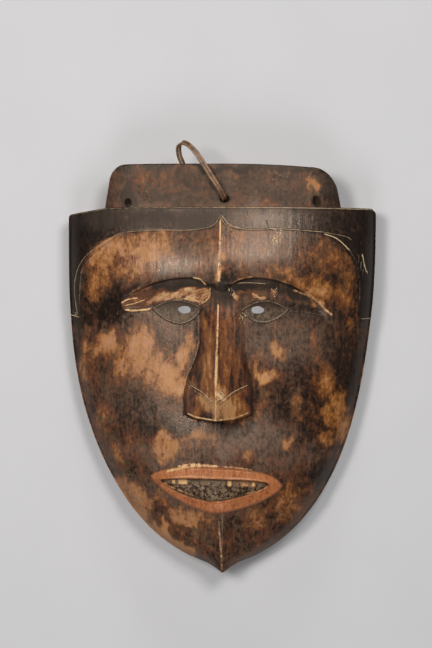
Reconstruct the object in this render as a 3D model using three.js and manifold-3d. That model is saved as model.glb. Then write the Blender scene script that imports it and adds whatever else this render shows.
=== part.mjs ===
// A shield-shaped mask carved from one block of wood, with a hide thong in its top flange.
// It lies face up on the flat rim of its hollow back.
// Millimetres. +Z is out of the face, +Y is the crown and +X is the viewer's right.
// The origin is below the middle of the carving, on the plane of the back rim.

import * as THREE from "three";
import { mergeVertices } from "three/addons/utils/BufferGeometryUtils.js";
import Module from "manifold-3d";

const wasm = await Module();
wasm.setup();

// Outline: the sides keep their width past the eyes and curve in to a small pointed nib
const TOP_Y = 124;
const CHIN_Y = -157.8;
const HALF_WIDTH = 119.6;
const SIDES = { start: 128.5, end: -152.2, power: 2.84, root: 0.56 };
const NIB = { top: -148, slope: 1.62, halfWidth: 0.8 };
const LEAN = { shift: 1.9, middle: -5, reach: 70 };
const LOW_CORNER = { from: -88, to: -120, drop: 4.6, rowsFrom: 70 };

// Broad form: heights above the plane of the rim, and where the crest line changes
const EDGE_Z = 22;
const TOP_Z = 52;
const BROW_Z = 60;
const CHEEK_Z = 56;
const CHIN_Z = 31;
const CREST = { browTo: 78, browFrom: 76, cheek: 44, chin: -98, chinBend: 1.25 };
const EDGE_ROLL = { width: 13, drop: 4, full: 40 };
const ROUNDING = 2.6;
const CHIN_SIDE_SLOPE = 0.75;

// How much of the fall to the sides is straight, like a roof, and where that changes
const ROOF = { cheeks: 0.1, forehead: 0.2, from: 40, to: 90, chin: 0.75, chinFrom: -80, chinTo: -125 };

// Hollow back, and the arch that it leaves open below the top edge
const RIM_WIDTH = 12;
const RIM_SHIFT = 10;
const WALL = 16;
const HOLLOW_TOP = { z: 34, from: 104, to: 66 };
const HOLLOW_END = { from: -60, to: -143, bend: 3 };
const HOLLOW_ARCH = { bend: 3, root: 0.55 };
const SIDE_DRAFT = 2.5;

// Flange behind the top edge, with three lashing holes
const FLANGE = { left: -91.5, right: 92.5, root: 121.5, top: 157.7, thick: 9, back: 1 };
const FLANGE_TAPER = { left: 6, right: 7 };
const FLANGE_CORNERS = { left: 10, right: 16, height: 30 };
const FLANGE_FALL = { from: 0, to: 67, drop: 2.3 };
const LASHING_DEPTH = { low: 5, high: 60 };
const LASHING_HOLES = [
  { x: -73.6, y: 127.7, width: 5.2, height: 5.6 },
  { x: 1.5, y: 130.4, width: 8, height: 5.6 },
  { x: 71.9, y: 130, width: 5.2, height: 5.6 },
];

// Brows: a sharp upper edge over a sloping hollow, the viewer's left and then the right
const OVERHANG = 4;
const BROWS = [
  { peak: 27, top: 69.7, inner: 10, inCurve: 0.0176, outCurve: 0.0063, end: 77 },
  { peak: 24, top: 69.8, inner: 6, inCurve: 0.017, outCurve: 0.0078, end: 84 },
];
const BROW_EDGE = { sharp: 0.8, innerSoft: 6, outerSoft: 13, before: 26, past: 8, below: 1.4, above: 0.6 };
const BROW_HOLLOW = { depth: 3.2, floor: 45.3, slope: 1.9, lip: 0.9, inEnd: 3, outEnd: 22 };
const BROW_BEND = { low: 40, high: 112, most: 11 };

// Eyes: almond sockets with a hole through each
const EYES = [
  { inner: 16.5, outer: 53, y: 46.4, rise: 6.2, drop: 11.2, holeX: -28.9, holeY: 45.5 },
  { inner: 15, outer: 49.7, y: 45.1, rise: 6.9, drop: 9.2, holeX: 26.5, holeY: 45.2 },
];
const LID_SKEW = 0.86;
const SOCKET = { depth: 4.6, full: 9, floor: 0.62, lid: 0.93 };
const EYE_HOLE = { width: 10.6, height: 6, flare: 1.7, low: 20, high: 62 };

// Nose: a wedge with a long ridge, a flat underside and steeper side walls
const NOSE = {
  ridgeX: -5,
  rootY: 60,
  tipY: -20,
  bottomY: -37.7,
  rise: 33,
  facetFall: 0.62,
  leftRoot: 10.2,
  leftWing: 22.4,
  rightRoot: 15.6,
  rightWing: 25.6,
  leftWall: 2.4,
  rightWall: 6,
  rightWallLoss: 0.6,
  flareFrom: 22,
  flareTo: -22,
  narrowFrom: 48,
  narrowTo: 62,
  narrow: 0.8,
  tipDroop: 0.1,
  bottomRise: 4.2,
  undercut: 1.6,
};
const MUZZLE = { x: -4, y: -58, rise: 3, width: 48, height: 24 };

// Mouth: a flat raised band round a cavity with a carved row of teeth
const LIPS = {
  left: -54.6, right: 45.1, leftY: -81.6, rightY: -88.6, rise: 11, drop: 24, apex: 0.487,
};
const OPENING = {
  left: -46.8, right: 34.5, leftY: -84.9, rightY: -87.4, rise: 3.4, drop: 13.8, apex: 0.44,
};
const LENS = { upperBend: 3, root: 0.6 };
const LIP_RISE = 3;
const LIP_SLOPE = 1.4;
const CAVITY = { depth: 3.8, slope: 1.6 };
const TEETH = { count: 12, height: 5.5, rise: 3, gap: 0.16 };
const CREASE = { y: -83, fall: 0.24, start: 46, soft: 9, width: 5, depth: 1.8, step: 2, stepWidth: 14 };

// Hide thong: its route through the middle hole, over the flange and back behind it
const THONG_RADIUS = 1.9;
const THONG_SIDES = 8;
const THONG_STEPS = 44;
const THONG_ROUTE = [
  [1.5, 130.3, 30.5], [1.5, 130.3, 36], [1.4, 130.2, 43.6], [-0.2, 134, 47.8], [-3.9, 140.2, 49.2],
  [-8.3, 147, 49.4], [-14.4, 156.8, 49.2], [-20.4, 165.6, 48.4], [-25.8, 171.3, 46.8],
  [-30.8, 173.6, 43.6], [-33.6, 171, 39.6], [-33.4, 164.8, 35], [-31.4, 159.6, 31.8],
  [-29, 155, 29.6], [-20.5, 146, 28], [-9, 136.5, 27.6], [-0.5, 130.6, 28.6],
];
const KNOT = { x: 1.5, y: 130.2, z: 30.6, width: 10.5, height: 8.5, depth: 7 };

// Small maths

const clamp = (value, low, high) => Math.min(Math.max(value, low), high);

const part = (from, to, value) => clamp((value - from) / (to - from), 0, 1);

const ramp = (from, to, value) => {
  const t = part(from, to, value);
  return t * t * (3 - 2 * t);
};

const mix = (a, b, t) => a + (b - a) * t;

const bell = (value) => Math.exp(-value * value);

// Outline

function halfWidth(y) {
  const s = clamp((SIDES.start - y) / (SIDES.start - SIDES.end), 0, 1);
  const lobe = HALF_WIDTH * (1 - s ** SIDES.power) ** SIDES.root;
  const nib = y < NIB.top ? (y - CHIN_Y) * NIB.slope : 0;
  return Math.max(lobe, nib, NIB.halfWidth);
}

const middleX = (y) => -LEAN.shift * bell((y - LEAN.middle) / LEAN.reach);

// How far the left end of the top edge sinks, for a point of that row
function topDrop(x, row) {
  const low = LOW_CORNER.drop * part(LOW_CORNER.from, LOW_CORNER.to, x);
  return low * ramp(LOW_CORNER.rowsFrom, TOP_Y, row);
}

// Broad form of the front, before any feature is cut

function crest(y) {
  const brow = mix(TOP_Z, BROW_Z, ramp(TOP_Y, CREST.browTo, y));
  const cheek = mix(brow, CHEEK_Z, ramp(CREST.browFrom, CREST.cheek, y));
  return mix(cheek, CHIN_Z, part(CREST.chin, CHIN_Y, y) ** CREST.chinBend);
}

function broadForm(x, y) {
  const half = halfWidth(y);
  const across = clamp(Math.abs(x - middleX(y)) / half, 0, 1);
  const middle = crest(y);
  const edge = Math.max(EDGE_Z, middle - CHIN_SIDE_SLOPE * half);
  const upper = mix(ROOF.cheeks, ROOF.forehead, ramp(ROOF.from, ROOF.to, y));
  const roof = mix(upper, ROOF.chin, ramp(ROOF.chinFrom, ROOF.chinTo, y));
  const fall = roof * across + (1 - roof) * across ** ROUNDING;
  const roll = part(EDGE_ROLL.width, 0, (1 - across) * half) ** 2 * EDGE_ROLL.drop;
  return mix(middle, edge, fall) - roll * ramp(0, EDGE_ROLL.full, half);
}

// Brows

function browTop(brow, away) {
  const curve = away < brow.peak ? brow.inCurve : brow.outCurve;
  return brow.top - curve * (away - brow.peak) ** 2;
}

// The rows of the grid bend with the upper edge of the brow, so that it stays crisp
function browBend(x, row) {
  const brow = x < 0 ? BROWS[0] : BROWS[1];
  const away = Math.abs(x);
  const shift = Math.max(browTop(brow, Math.max(away, brow.inner)) - brow.top, -BROW_BEND.most);
  const rows = Math.min(part(BROW_BEND.low, brow.top, row), part(BROW_BEND.high, brow.top, row));
  return shift * rows * ramp(halfWidth(row), brow.end, away);
}

function forehead(x, y) {
  const brow = x < 0 ? BROWS[0] : BROWS[1];
  const away = Math.abs(x);
  const line = browTop(brow, clamp(away, brow.inner, brow.end));
  const { sharp, innerSoft, outerSoft, before, past, below, above } = BROW_EDGE;
  const innerEnd = innerSoft * ramp(brow.inner, 0, away);
  const outerEnd = outerSoft * ramp(brow.end - before, brow.end + past, away);
  const soft = sharp + innerEnd + outerEnd;
  return OVERHANG * ramp(line - soft * below, line + soft * above, y);
}

function browHollow(x, y) {
  const brow = x < 0 ? BROWS[0] : BROWS[1];
  const eye = x < 0 ? EYES[0] : EYES[1];
  const away = Math.abs(x);
  if (away < brow.inner || away > brow.end) {
    return 0;
  }
  const high = browTop(brow, away);
  const { depth, floor, slope, lip, inEnd, outEnd } = BROW_HOLLOW;
  const innerWall = browTop(brow, brow.inner) - (away - brow.inner) * slope;
  const low = Math.max(floor, innerWall, eye.y + lidRise(eye, away));
  const t = part(low, high, y);
  const ends = ramp(brow.inner, brow.inner + inEnd, away) * ramp(brow.end, brow.end - outEnd, away);
  return depth * ends * t ** 0.7 * ramp(1, lip, t);
}

// Eyes

const along = (eye, away) => part(eye.inner, eye.outer, away);

function lidRise(eye, away) {
  const e = along(eye, away);
  return eye.rise * 4 * e * (1 - e);
}

function lidDrop(eye, away) {
  const e = along(eye, away) ** LID_SKEW;
  return eye.drop * 4 * e * (1 - e);
}

function socket(x, y) {
  const eye = x < 0 ? EYES[0] : EYES[1];
  const away = Math.abs(x);
  const high = lidRise(eye, away);
  const low = -lidDrop(eye, away);
  if (high === low || y > eye.y + high || y < eye.y + low) {
    return 0;
  }
  const t = part(low, high, y - eye.y);
  const corners = Math.min(1, (high - low) / SOCKET.full);
  return SOCKET.depth * corners * ramp(0, SOCKET.floor, t) * ramp(1, SOCKET.lid, t);
}

// Nose

function noseRise(x, y) {
  const flare = ramp(NOSE.flareFrom, NOSE.flareTo, y);
  const left = x < NOSE.ridgeX;
  const root = left ? NOSE.leftRoot : NOSE.rightRoot;
  const wing = left ? NOSE.leftWing : NOSE.rightWing;
  const wall = left ? NOSE.leftWall : NOSE.rightWall * (1 - NOSE.rightWallLoss * flare);
  const half = mix(root, wing, flare) * mix(1, NOSE.narrow, ramp(NOSE.narrowFrom, NOSE.narrowTo, y));
  const away = Math.abs(x - NOSE.ridgeX);
  const across = clamp(away / half, 0, 1);
  const bottom = NOSE.bottomY + NOSE.bottomRise * across ** 3;
  const facet = 1 - NOSE.facetFall * across;
  const side = part(half + wall, half, away);
  const length = part(NOSE.rootY, NOSE.tipY, y);
  const tip = 1 - NOSE.tipDroop * part(NOSE.tipY, NOSE.bottomY, y);
  return NOSE.rise * length * tip * facet * side * part(bottom - NOSE.undercut, bottom, y);
}

// Mouth

function lens(shape, x, y) {
  const e = (x - shape.left) / (shape.right - shape.left);
  if (e <= 0 || e >= 1) {
    return -1;
  }
  const chord = mix(shape.leftY, shape.rightY, e);
  const rise = shape.rise * (1 - Math.abs(2 * e - 1) ** LENS.upperBend) ** LENS.root;
  const away = e < shape.apex ? e / shape.apex : (1 - e) / (1 - shape.apex);
  const drop = shape.drop * away ** LENS.root;
  return Math.min(chord + rise - y, y - chord + drop);
}

function teeth(x, y) {
  const e = (x - OPENING.left) / (OPENING.right - OPENING.left);
  if (e <= 0 || e >= 1) {
    return 0;
  }
  const top = mix(OPENING.leftY, OPENING.rightY, e) + OPENING.rise;
  const across = Math.abs(((e * TEETH.count) % 1) - 0.5);
  const tooth = ramp(0.5, 0.5 - TEETH.gap, across);
  const row = ramp(top - TEETH.height - 1, top - TEETH.height, y);
  const ends = Math.min(1, e * TEETH.count, (1 - e) * TEETH.count);
  return TEETH.rise * tooth * row * ends;
}

function mouth(x, y) {
  const band = LIP_RISE * part(0, LIP_SLOPE, lens(LIPS, x, y));
  const inside = part(0, CAVITY.slope, lens(OPENING, x, y));
  return mix(band, teeth(x, y) - CAVITY.depth, inside);
}

function jaw(x, y) {
  const away = Math.abs(x - middleX(y));
  const line = CREASE.y - CREASE.fall * (away - CREASE.start);
  const reach = ramp(CREASE.start - CREASE.soft, CREASE.start + CREASE.soft, away);
  const valley = -CREASE.depth * bell((y - line) / CREASE.width);
  return reach * (valley + CREASE.step * ramp(line, line - CREASE.stepWidth, y));
}

// The whole front

function front(x, y) {
  const broad = broadForm(x, y);
  const muzzle = MUZZLE.rise * bell((x - MUZZLE.x) / MUZZLE.width) * bell((y - MUZZLE.y) / MUZZLE.height);
  const skin = broad + muzzle + forehead(x, y) - browHollow(x, y) - socket(x, y) + mouth(x, y) + jaw(x, y);
  return Math.max(skin, broad + noseRise(x, y));
}

// The hollow back: the rim is flat at 0, and the middle follows the front

const innerHalfWidth = (y) => Math.max(halfWidth(y - RIM_SHIFT) - RIM_WIDTH, 0);

function hollow(x, y) {
  const inner = innerHalfWidth(y);
  const away = Math.abs(x - middleX(y));
  if (away >= inner) {
    return 0;
  }
  const below = ramp(HOLLOW_TOP.from, HOLLOW_TOP.to, y);
  const middle = mix(HOLLOW_TOP.z, Math.min(crest(y), CHEEK_Z) - WALL, below);
  const end = part(HOLLOW_END.from, HOLLOW_END.to, y) ** HOLLOW_END.bend;
  const side = (away / inner) ** HOLLOW_ARCH.bend;
  return middle * ((1 - end) * (1 - side)) ** HOLLOW_ARCH.root;
}

// Grids: a height field in front, another behind it, and a wall between their edges

function stations(spans) {
  const values = [spans[0].from];
  for (const span of spans) {
    for (let i = 1; i <= span.count; i += 1) {
      values.push(mix(span.from, span.to, i / span.count));
    }
  }
  return values;
}

// A grid holds one point for each column and row, and the place of each along its edge loop
function makeGrid(columns, rows, place) {
  const points = rows.map((row) => columns.map((column) => place(column, row)));
  return { points, columns, rows, width: columns.length, height: rows.length };
}

function edgeLoop(grid) {
  const { width, height, columns, rows } = grid;
  const share = (values, i) => (values[i] - values[0]) / (values[values.length - 1] - values[0]);
  const loop = [];
  for (let i = 0; i < width - 1; i += 1) {
    loop.push({ index: i, at: share(columns, i) });
  }
  for (let j = 0; j < height - 1; j += 1) {
    loop.push({ index: j * width + width - 1, at: 1 + share(rows, j) });
  }
  for (let i = width - 1; i > 0; i -= 1) {
    loop.push({ index: (height - 1) * width + i, at: 3 - share(columns, i) });
  }
  for (let j = height - 1; j > 0; j -= 1) {
    loop.push({ index: j * width, at: 4 - share(rows, j) });
  }
  loop.push({ index: 0, at: 4 });
  return loop;
}

function gridTriangles(grid, offset, facesUp) {
  const triangles = [];
  for (let j = 0; j + 1 < grid.height; j += 1) {
    for (let i = 0; i + 1 < grid.width; i += 1) {
      const a = offset + j * grid.width + i;
      const b = a + 1;
      const c = b + grid.width;
      const d = a + grid.width;
      triangles.push(...(facesUp ? [a, b, c, a, c, d] : [a, c, b, a, d, c]));
    }
  }
  return triangles;
}

// Joins two edge loops with different numbers of points, always stepping the one that is behind
function wallTriangles(upper, lower, offset) {
  const triangles = [];
  let i = 0;
  let j = 0;
  while (i + 1 < upper.length || j + 1 < lower.length) {
    const nextUpper = i + 1 < upper.length ? upper[i + 1].at : Infinity;
    const nextLower = j + 1 < lower.length ? lower[j + 1].at : Infinity;
    const top = upper[i].index;
    const bottom = lower[j].index + offset;
    if (nextUpper <= nextLower) {
      triangles.push(top, bottom, upper[i + 1].index);
      i += 1;
    } else {
      triangles.push(top, bottom, lower[j + 1].index + offset);
      j += 1;
    }
  }
  return triangles;
}

function solidBetween(upper, lower) {
  const offset = upper.width * upper.height;
  const geometry = new THREE.BufferGeometry();
  const positions = [...upper.points.flat(2), ...lower.points.flat(2)];
  geometry.setAttribute("position", new THREE.Float32BufferAttribute(positions, 3));
  geometry.setIndex([
    ...gridTriangles(upper, 0, true),
    ...gridTriangles(lower, offset, false),
    ...wallTriangles(edgeLoop(upper), edgeLoop(lower), offset),
  ]);
  return geometry;
}

// Solids

function toSolid(geometry) {
  geometry.deleteAttribute("normal");
  geometry.deleteAttribute("uv");
  const merged = mergeVertices(geometry, 1e-4);
  const vertProperties = new Float32Array(merged.attributes.position.array);
  const triVerts = new Uint32Array(merged.index.array);
  return new wasm.Manifold(new wasm.Mesh({ numProp: 3, vertProperties, triVerts }));
}

function toGeometry(solid) {
  const mesh = solid.getMesh();
  const geometry = new THREE.BufferGeometry();
  geometry.setAttribute("position", new THREE.BufferAttribute(new Float32Array(mesh.vertProperties), 3));
  geometry.setIndex(new THREE.BufferAttribute(new Uint32Array(mesh.triVerts), 1));
  geometry.computeVertexNormals();
  return geometry;
}

function makeShell() {
  const columns = stations([
    { from: -1, to: -0.6, count: 5 },
    { from: -0.6, to: 0.6, count: 40 },
    { from: 0.6, to: 1, count: 5 },
  ]);
  const rows = stations([
    { from: CHIN_Y, to: -112, count: 7 },
    { from: -112, to: -72, count: 18 },
    { from: -72, to: -40, count: 4 },
    { from: -40, to: -33, count: 4 },
    { from: -33, to: NOSE.tipY, count: 2 },
    { from: NOSE.tipY, to: -10, count: 1 },
    { from: -10, to: 34, count: 6 },
    { from: 34, to: 72, count: 17 },
    { from: 72, to: TOP_Y, count: 5 },
  ]);
  const face = makeGrid(columns, rows, (s, row) => {
    const bent = row + browBend(middleX(row) + halfWidth(row) * s, row);
    const x = middleX(bent) + halfWidth(bent) * s;
    return [x, bent - topDrop(x, row), front(x, bent)];
  });
  const backColumns = stations([
    { from: -1.2, to: -1, count: 1 },
    { from: -1, to: -0.9, count: 2 },
    { from: -0.9, to: 0.9, count: 13 },
    { from: 0.9, to: 1, count: 2 },
    { from: 1, to: 1.2, count: 1 },
  ]);
  const backRows = stations([
    { from: CHIN_Y, to: -143, count: 2 },
    { from: -143, to: -126, count: 5 },
    { from: -126, to: -80, count: 6 },
    { from: -80, to: 60, count: 8 },
    { from: 60, to: TOP_Y, count: 5 },
  ]);
  const back = makeGrid(backColumns, backRows, (s, row) => {
    const outer = Math.max(halfWidth(row) - SIDE_DRAFT, NIB.halfWidth / 2);
    const inner = Math.max(innerHalfWidth(row), 0.3 * outer);
    const reach = Math.abs(s) > 1 ? outer : inner * Math.abs(s);
    const x = middleX(row) + Math.sign(s) * reach;
    return [x, row - topDrop(x, row), hollow(x, row)];
  });
  return toSolid(solidBetween(face, back));
}

function makeFlange() {
  const archZ = (x) => hollow(x, TOP_Y) + FLANGE.back;
  const corner = (size, v) => {
    const round = part(1 - size / FLANGE_CORNERS.height, 1, v);
    return size * (1 - Math.sqrt(1 - round ** 2));
  };
  const columns = stations([{ from: 0, to: 1, count: 16 }]);
  const rows = stations([
    { from: 0, to: 0.6, count: 1 },
    { from: 0.6, to: 1, count: 5 },
  ]);
  const layer = (lift) => makeGrid(columns, rows, (u, v) => {
    const left = FLANGE.left + FLANGE_TAPER.left * v + corner(FLANGE_CORNERS.left, v);
    const right = FLANGE.right - FLANGE_TAPER.right * v - corner(FLANGE_CORNERS.right, v);
    const x = mix(left, right, u);
    const fall = FLANGE_FALL.drop * part(FLANGE_FALL.from, FLANGE_FALL.to, x) ** 2;
    return [x, mix(FLANGE.root, FLANGE.top - fall, v), archZ(x) + lift];
  });
  return toSolid(solidBetween(layer(FLANGE.thick), layer(0)));
}

// An oval cutter along Z that may widen towards the back
function makeCutter(x, y, width, height, flare, lowZ, highZ) {
  const cutter = new THREE.CylinderGeometry(0.5, 0.5 * flare, highZ - lowZ, 16);
  cutter.rotateX(Math.PI / 2);
  cutter.scale(width, height, 1);
  cutter.translate(x, y, (lowZ + highZ) / 2);
  return toSolid(cutter);
}

function makeMask() {
  let solid = makeShell().add(makeFlange());
  for (const hole of LASHING_HOLES) {
    const { low, high } = LASHING_DEPTH;
    solid = solid.subtract(makeCutter(hole.x, hole.y, hole.width, hole.height, 1, low, high));
  }
  for (const eye of EYES) {
    const { width, height, flare, low, high } = EYE_HOLE;
    solid = solid.subtract(makeCutter(eye.holeX, eye.holeY, width, height, flare, low, high));
  }
  return toGeometry(solid);
}

function makeThong() {
  const outline = new THREE.Shape();
  for (let i = 0; i < THONG_SIDES; i += 1) {
    const turn = (i / THONG_SIDES) * 2 * Math.PI;
    const point = [THONG_RADIUS * Math.cos(turn), THONG_RADIUS * Math.sin(turn)];
    if (i === 0) {
      outline.moveTo(...point);
    } else {
      outline.lineTo(...point);
    }
  }
  const route = new THREE.CatmullRomCurve3(THONG_ROUTE.map((p) => new THREE.Vector3(...p)));
  const tube = new THREE.ExtrudeGeometry(outline, { steps: THONG_STEPS, extrudePath: route });
  const knot = new THREE.SphereGeometry(0.5, 12, 8);
  knot.scale(KNOT.width, KNOT.height, KNOT.depth);
  knot.translate(KNOT.x, KNOT.y, KNOT.z);
  return toGeometry(toSolid(tube).add(toSolid(knot)));
}

function addPiece(group, name, geometry, look) {
  const mesh = new THREE.Mesh(geometry, new THREE.MeshStandardMaterial(look));
  mesh.name = name;
  group.add(mesh);
}

const group = new THREE.Group();
addPiece(group, "mask", makeMask(), { color: 0x4a2a18, roughness: 0.45, metalness: 0 });
addPiece(group, "hanging_thong", makeThong(), { color: 0x8a6238, roughness: 0.5, metalness: 0 });

export default group;
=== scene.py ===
"""A shield-shaped mask carved from one block of wood, with a loop of hide thong in its top flange.

It lies face up on the flat rim of its hollow back. +Z is out of the face, +Y is the crown and +X is
the viewer's right. Sizes are in millimetres until a mesh is made, and the thong's route is in metres.
Places go across in x and along in y, and arrays of them have one value for each place.
"""

import logging
from collections.abc import Sequence
from dataclasses import dataclass, field, fields
from enum import Enum
from typing import Any

import bpy
import numpy as np
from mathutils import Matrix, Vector


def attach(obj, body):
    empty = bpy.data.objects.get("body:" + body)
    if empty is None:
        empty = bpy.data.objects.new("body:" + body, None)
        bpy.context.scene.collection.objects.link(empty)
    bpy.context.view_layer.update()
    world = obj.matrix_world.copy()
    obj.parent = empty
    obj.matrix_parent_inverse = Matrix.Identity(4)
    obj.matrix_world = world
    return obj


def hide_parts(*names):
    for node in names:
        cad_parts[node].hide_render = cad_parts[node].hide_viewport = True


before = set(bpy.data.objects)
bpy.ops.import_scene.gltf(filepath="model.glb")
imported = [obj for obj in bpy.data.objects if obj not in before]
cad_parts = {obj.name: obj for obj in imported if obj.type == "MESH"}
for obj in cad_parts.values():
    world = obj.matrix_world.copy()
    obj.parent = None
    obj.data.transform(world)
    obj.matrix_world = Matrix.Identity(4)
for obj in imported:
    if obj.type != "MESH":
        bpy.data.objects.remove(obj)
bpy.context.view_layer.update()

Array = np.ndarray
Number = float | Array
Point = tuple[float, float]
Place = tuple[float, float, float]
Colour = tuple[float, float, float]
Stops = Sequence[tuple[float, Colour]]

LOG = logging.getLogger("shield mask")
MM = 0.001
TINY = 1e-9
BODY = "root"


# Small maths


def part(start: Number, end: Number, value: Number) -> Array:
    """How far value has come from start to end, held between 0 and 1."""
    span = np.subtract(end, start, dtype=float)
    return np.clip((value - start) / np.where(np.abs(span) < TINY, TINY, span), 0.0, 1.0)


def ramp(start: Number, end: Number, value: Number) -> Array:
    """The same, with soft ends: 3 t squared less 2 t cubed."""
    t = part(start, end, value)
    return t * t * (3.0 - 2.0 * t)


def mix(a: Number, b: Number, t: Number) -> Number:
    """A value t of the way from a to b."""
    return a + (b - a) * t


def bell(value: Number) -> Array:
    """A bell curve of height 1: e to the power of minus value squared."""
    return np.exp(-np.square(value))


def stations(*spans: tuple[float, float, int]) -> Array:
    """Values along a line: each span gives its start, its end and how many steps it has."""
    steps = [np.linspace(a, b, count + 1)[1:] for a, b, count in spans]
    return np.concatenate([[spans[0][0]], *steps])


def smooth_line(points: Sequence[Sequence[float]], steps: int) -> Array:
    """A Catmull-Rom curve through the points.

    Args:
        points: The places that the curve passes, in order.
        steps: How many straight pieces it has between two of them.

    Returns:
        One row for each place along the curve. Between b and c, with neighbours a and d, it is half of
        2b + (c - a)t + (2a - 5b + 4c - d)t squared + (3b - a - 3c + d)t cubed.
    """
    p = np.asarray(points, float)
    p = np.vstack([2 * p[0] - p[1], p, 2 * p[-1] - p[-2]])
    a, b, c, d = (p[k : len(p) - 3 + k, None, :] for k in range(4))
    t = (np.arange(steps) / steps)[None, :, None]
    curve = 2 * b + (c - a) * t + (2 * a - 5 * b + 4 * c - d) * t**2 + (3 * b - a - 3 * c + d) * t**3
    return np.vstack([0.5 * curve.reshape(-1, p.shape[1]), p[-2]])


def beside(line: Array, x: Array, y: Array) -> tuple[Array, Array]:
    """Where each place is beside a line of straight pieces.

    Args:
        line: The corners of the line, in order.
        x, y: The places.

    Returns:
        The distance to the nearest piece, and the distance out from the straight line through that
        piece, which is above 0 on its left side and below 0 on its right.
    """
    place = np.stack([x, y], axis=-1)
    nearest, out = np.full(x.shape, np.inf), np.full(x.shape, np.inf)
    for start, end in zip(line[:-1], line[1:]):
        run = end - start
        t = np.clip((place - start) @ run / (run @ run), 0.0, 1.0)
        away = np.linalg.norm(place - start - t[..., None] * run, axis=-1)
        side = (place - start) @ np.array([-run[1], run[0]]) / np.linalg.norm(run)
        out = np.where(away < nearest, side, out)
        nearest = np.minimum(nearest, away)
    return nearest, out


def unit(vectors: Array) -> Array:
    """Each of the vectors, one in a row, over its own length."""
    return vectors / np.linalg.norm(vectors, axis=1)[:, None]


@dataclass(frozen=True)
class Grain:
    """Smooth random values over a plane, the same on each run."""

    seed: int
    period: int = 256

    def at(self, x: Array, y: Array) -> Array:
        """Values from 0 to 1.

        Args:
            x: Places across, in steps of the lattice.
            y: Places along, in steps of the lattice.

        Returns:
            The four random numbers round each place, blended with 3 t squared less 2 t cubed both ways.
        """
        table = np.random.default_rng(self.seed).random((self.period, self.period))
        left, low = np.floor(x).astype(int), np.floor(y).astype(int)
        u, v = x - left, y - low
        u, v = u * u * (3 - 2 * u), v * v * (3 - 2 * v)
        i, j = left % self.period, low % self.period
        k, m = (i + 1) % self.period, (j + 1) % self.period
        return mix(mix(table[j, i], table[j, k], u), mix(table[m, i], table[m, k], u), v)

    def swing(self, x: Array, y: Array, wide: float, high: float) -> Array:
        """Values from -1 to 1, with a lattice of that width and height."""
        return 2.0 * self.at(x / wide + self.seed, y / high + self.seed) - 1.0


@dataclass(frozen=True)
class Ripple:
    """Smooth waves: their seed, how far they swing, and the width and height of their lattice."""

    seed: int
    size: float
    wide: float
    high: float

    def at(self, x: Array, y: Array) -> Array:
        """How far they swing at each place, up to their size both ways."""
        return self.size * Grain(self.seed).swing(x, y, self.wide, self.high)


def swings(ripples: Sequence[Ripple], x: Array, y: Array) -> Array:
    """The sum of several ripples at each place."""
    return sum(ripple.at(x, y) for ripple in ripples)


# Meshes


@dataclass
class Shape:
    """A mesh being put together: points in millimetres, and faces of 3 or 4 corners."""

    points: list[Array] = field(default_factory=list)
    faces: list[list[int]] = field(default_factory=list)
    count: int = 0

    def add_points(self, points: Array) -> Array:
        """Adds points.

        Args:
            points: Their places, in an array of any shape whose last axis is x, y and z.

        Returns:
            Their numbers, in the shape that the points came in.
        """
        numbers = self.count + np.arange(points[..., 0].size).reshape(points.shape[:-1])
        self.points.append(points.reshape(-1, 3))
        self.count += numbers.size
        return numbers

    def add_grid(self, numbers: Array, turned: bool = False) -> None:
        """Adds the squares of a grid of point numbers, each a, b, c, d round its corners.

        Args:
            numbers: Point numbers, one row for each row of the grid.
            turned: Whether the faces look the other way.
        """
        corners = [numbers[:-1, :-1], numbers[:-1, 1:], numbers[1:, 1:], numbers[1:, :-1]]
        quads = np.stack([c.ravel() for c in corners], axis=1)
        self.faces += (quads[:, ::-1] if turned else quads).tolist()

    def add_sleeve(self, numbers: Array) -> None:
        """Adds the squares between rings of points, closed round each ring."""
        self.add_grid(np.hstack([numbers, numbers[:, :1]]))

    def add_tube(self, rings: Array) -> None:
        """Adds a tube with a flat end on each side.

        Args:
            rings: Its points, ring by ring.
        """
        numbers = self.add_points(rings)
        self.add_sleeve(numbers)
        self.faces += [numbers[0, ::-1].tolist(), numbers[-1].tolist()]

    def add_zipper(self, upper: Array, upper_at: Array, lower: Array, lower_at: Array) -> None:
        """Joins two edges with different numbers of points.

        Each edge of one loop makes a triangle with the last point of the other that it has passed.

        Args:
            upper: Point numbers of one loop, whose last is its first again.
            upper_at: The place of each along the loop, rising.
            lower: The same for the other loop.
            lower_at: The place of each of those, from and to the same values.
        """
        near = np.searchsorted(lower_at, upper_at[1:], "left") - 1
        far = np.searchsorted(upper_at, lower_at[1:], "right") - 1
        near = np.clip(near, 0, len(lower) - 1)
        one = np.stack([upper[:-1], lower[near], upper[1:]], axis=1)
        two = np.stack([upper[far], lower[:-1], lower[1:]], axis=1)
        self.faces += one.tolist() + two.tolist()

    def make(self, name: str) -> bpy.types.Object:
        """Puts the shape in the scene, in metres.

        Args:
            name: The piece's name.

        Returns:
            The object, which sits at the origin.
        """
        mesh = bpy.data.meshes.new(name)
        mesh.from_pydata((np.vstack(self.points) * MM).tolist(), [], self.faces)
        mesh.validate()
        piece = bpy.data.objects.new(name, mesh)
        bpy.context.scene.collection.objects.link(piece)
        return piece


def loop_of(numbers: Array, across: Array, along: Array) -> tuple[Array, Array]:
    """The edge of a grid, once round from its first corner.

    Args:
        numbers: Point numbers, one row for each row of the grid.
        across: The value of each column.
        along: The value of each row.

    Returns:
        The point numbers, the last being the first again, and their places from 0 to 4.
    """
    u = (across - across[0]) / (across[-1] - across[0])
    v = (along - along[0]) / (along[-1] - along[0])
    sides = [numbers[0, :-1], numbers[:-1, -1], numbers[-1, :0:-1], numbers[:0:-1, 0], numbers[0, :1]]
    places = [u[:-1], 1 + v[:-1], 3 - u[:0:-1], 4 - v[:0:-1], [4.0]]
    return np.concatenate(sides), np.concatenate(places)


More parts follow.
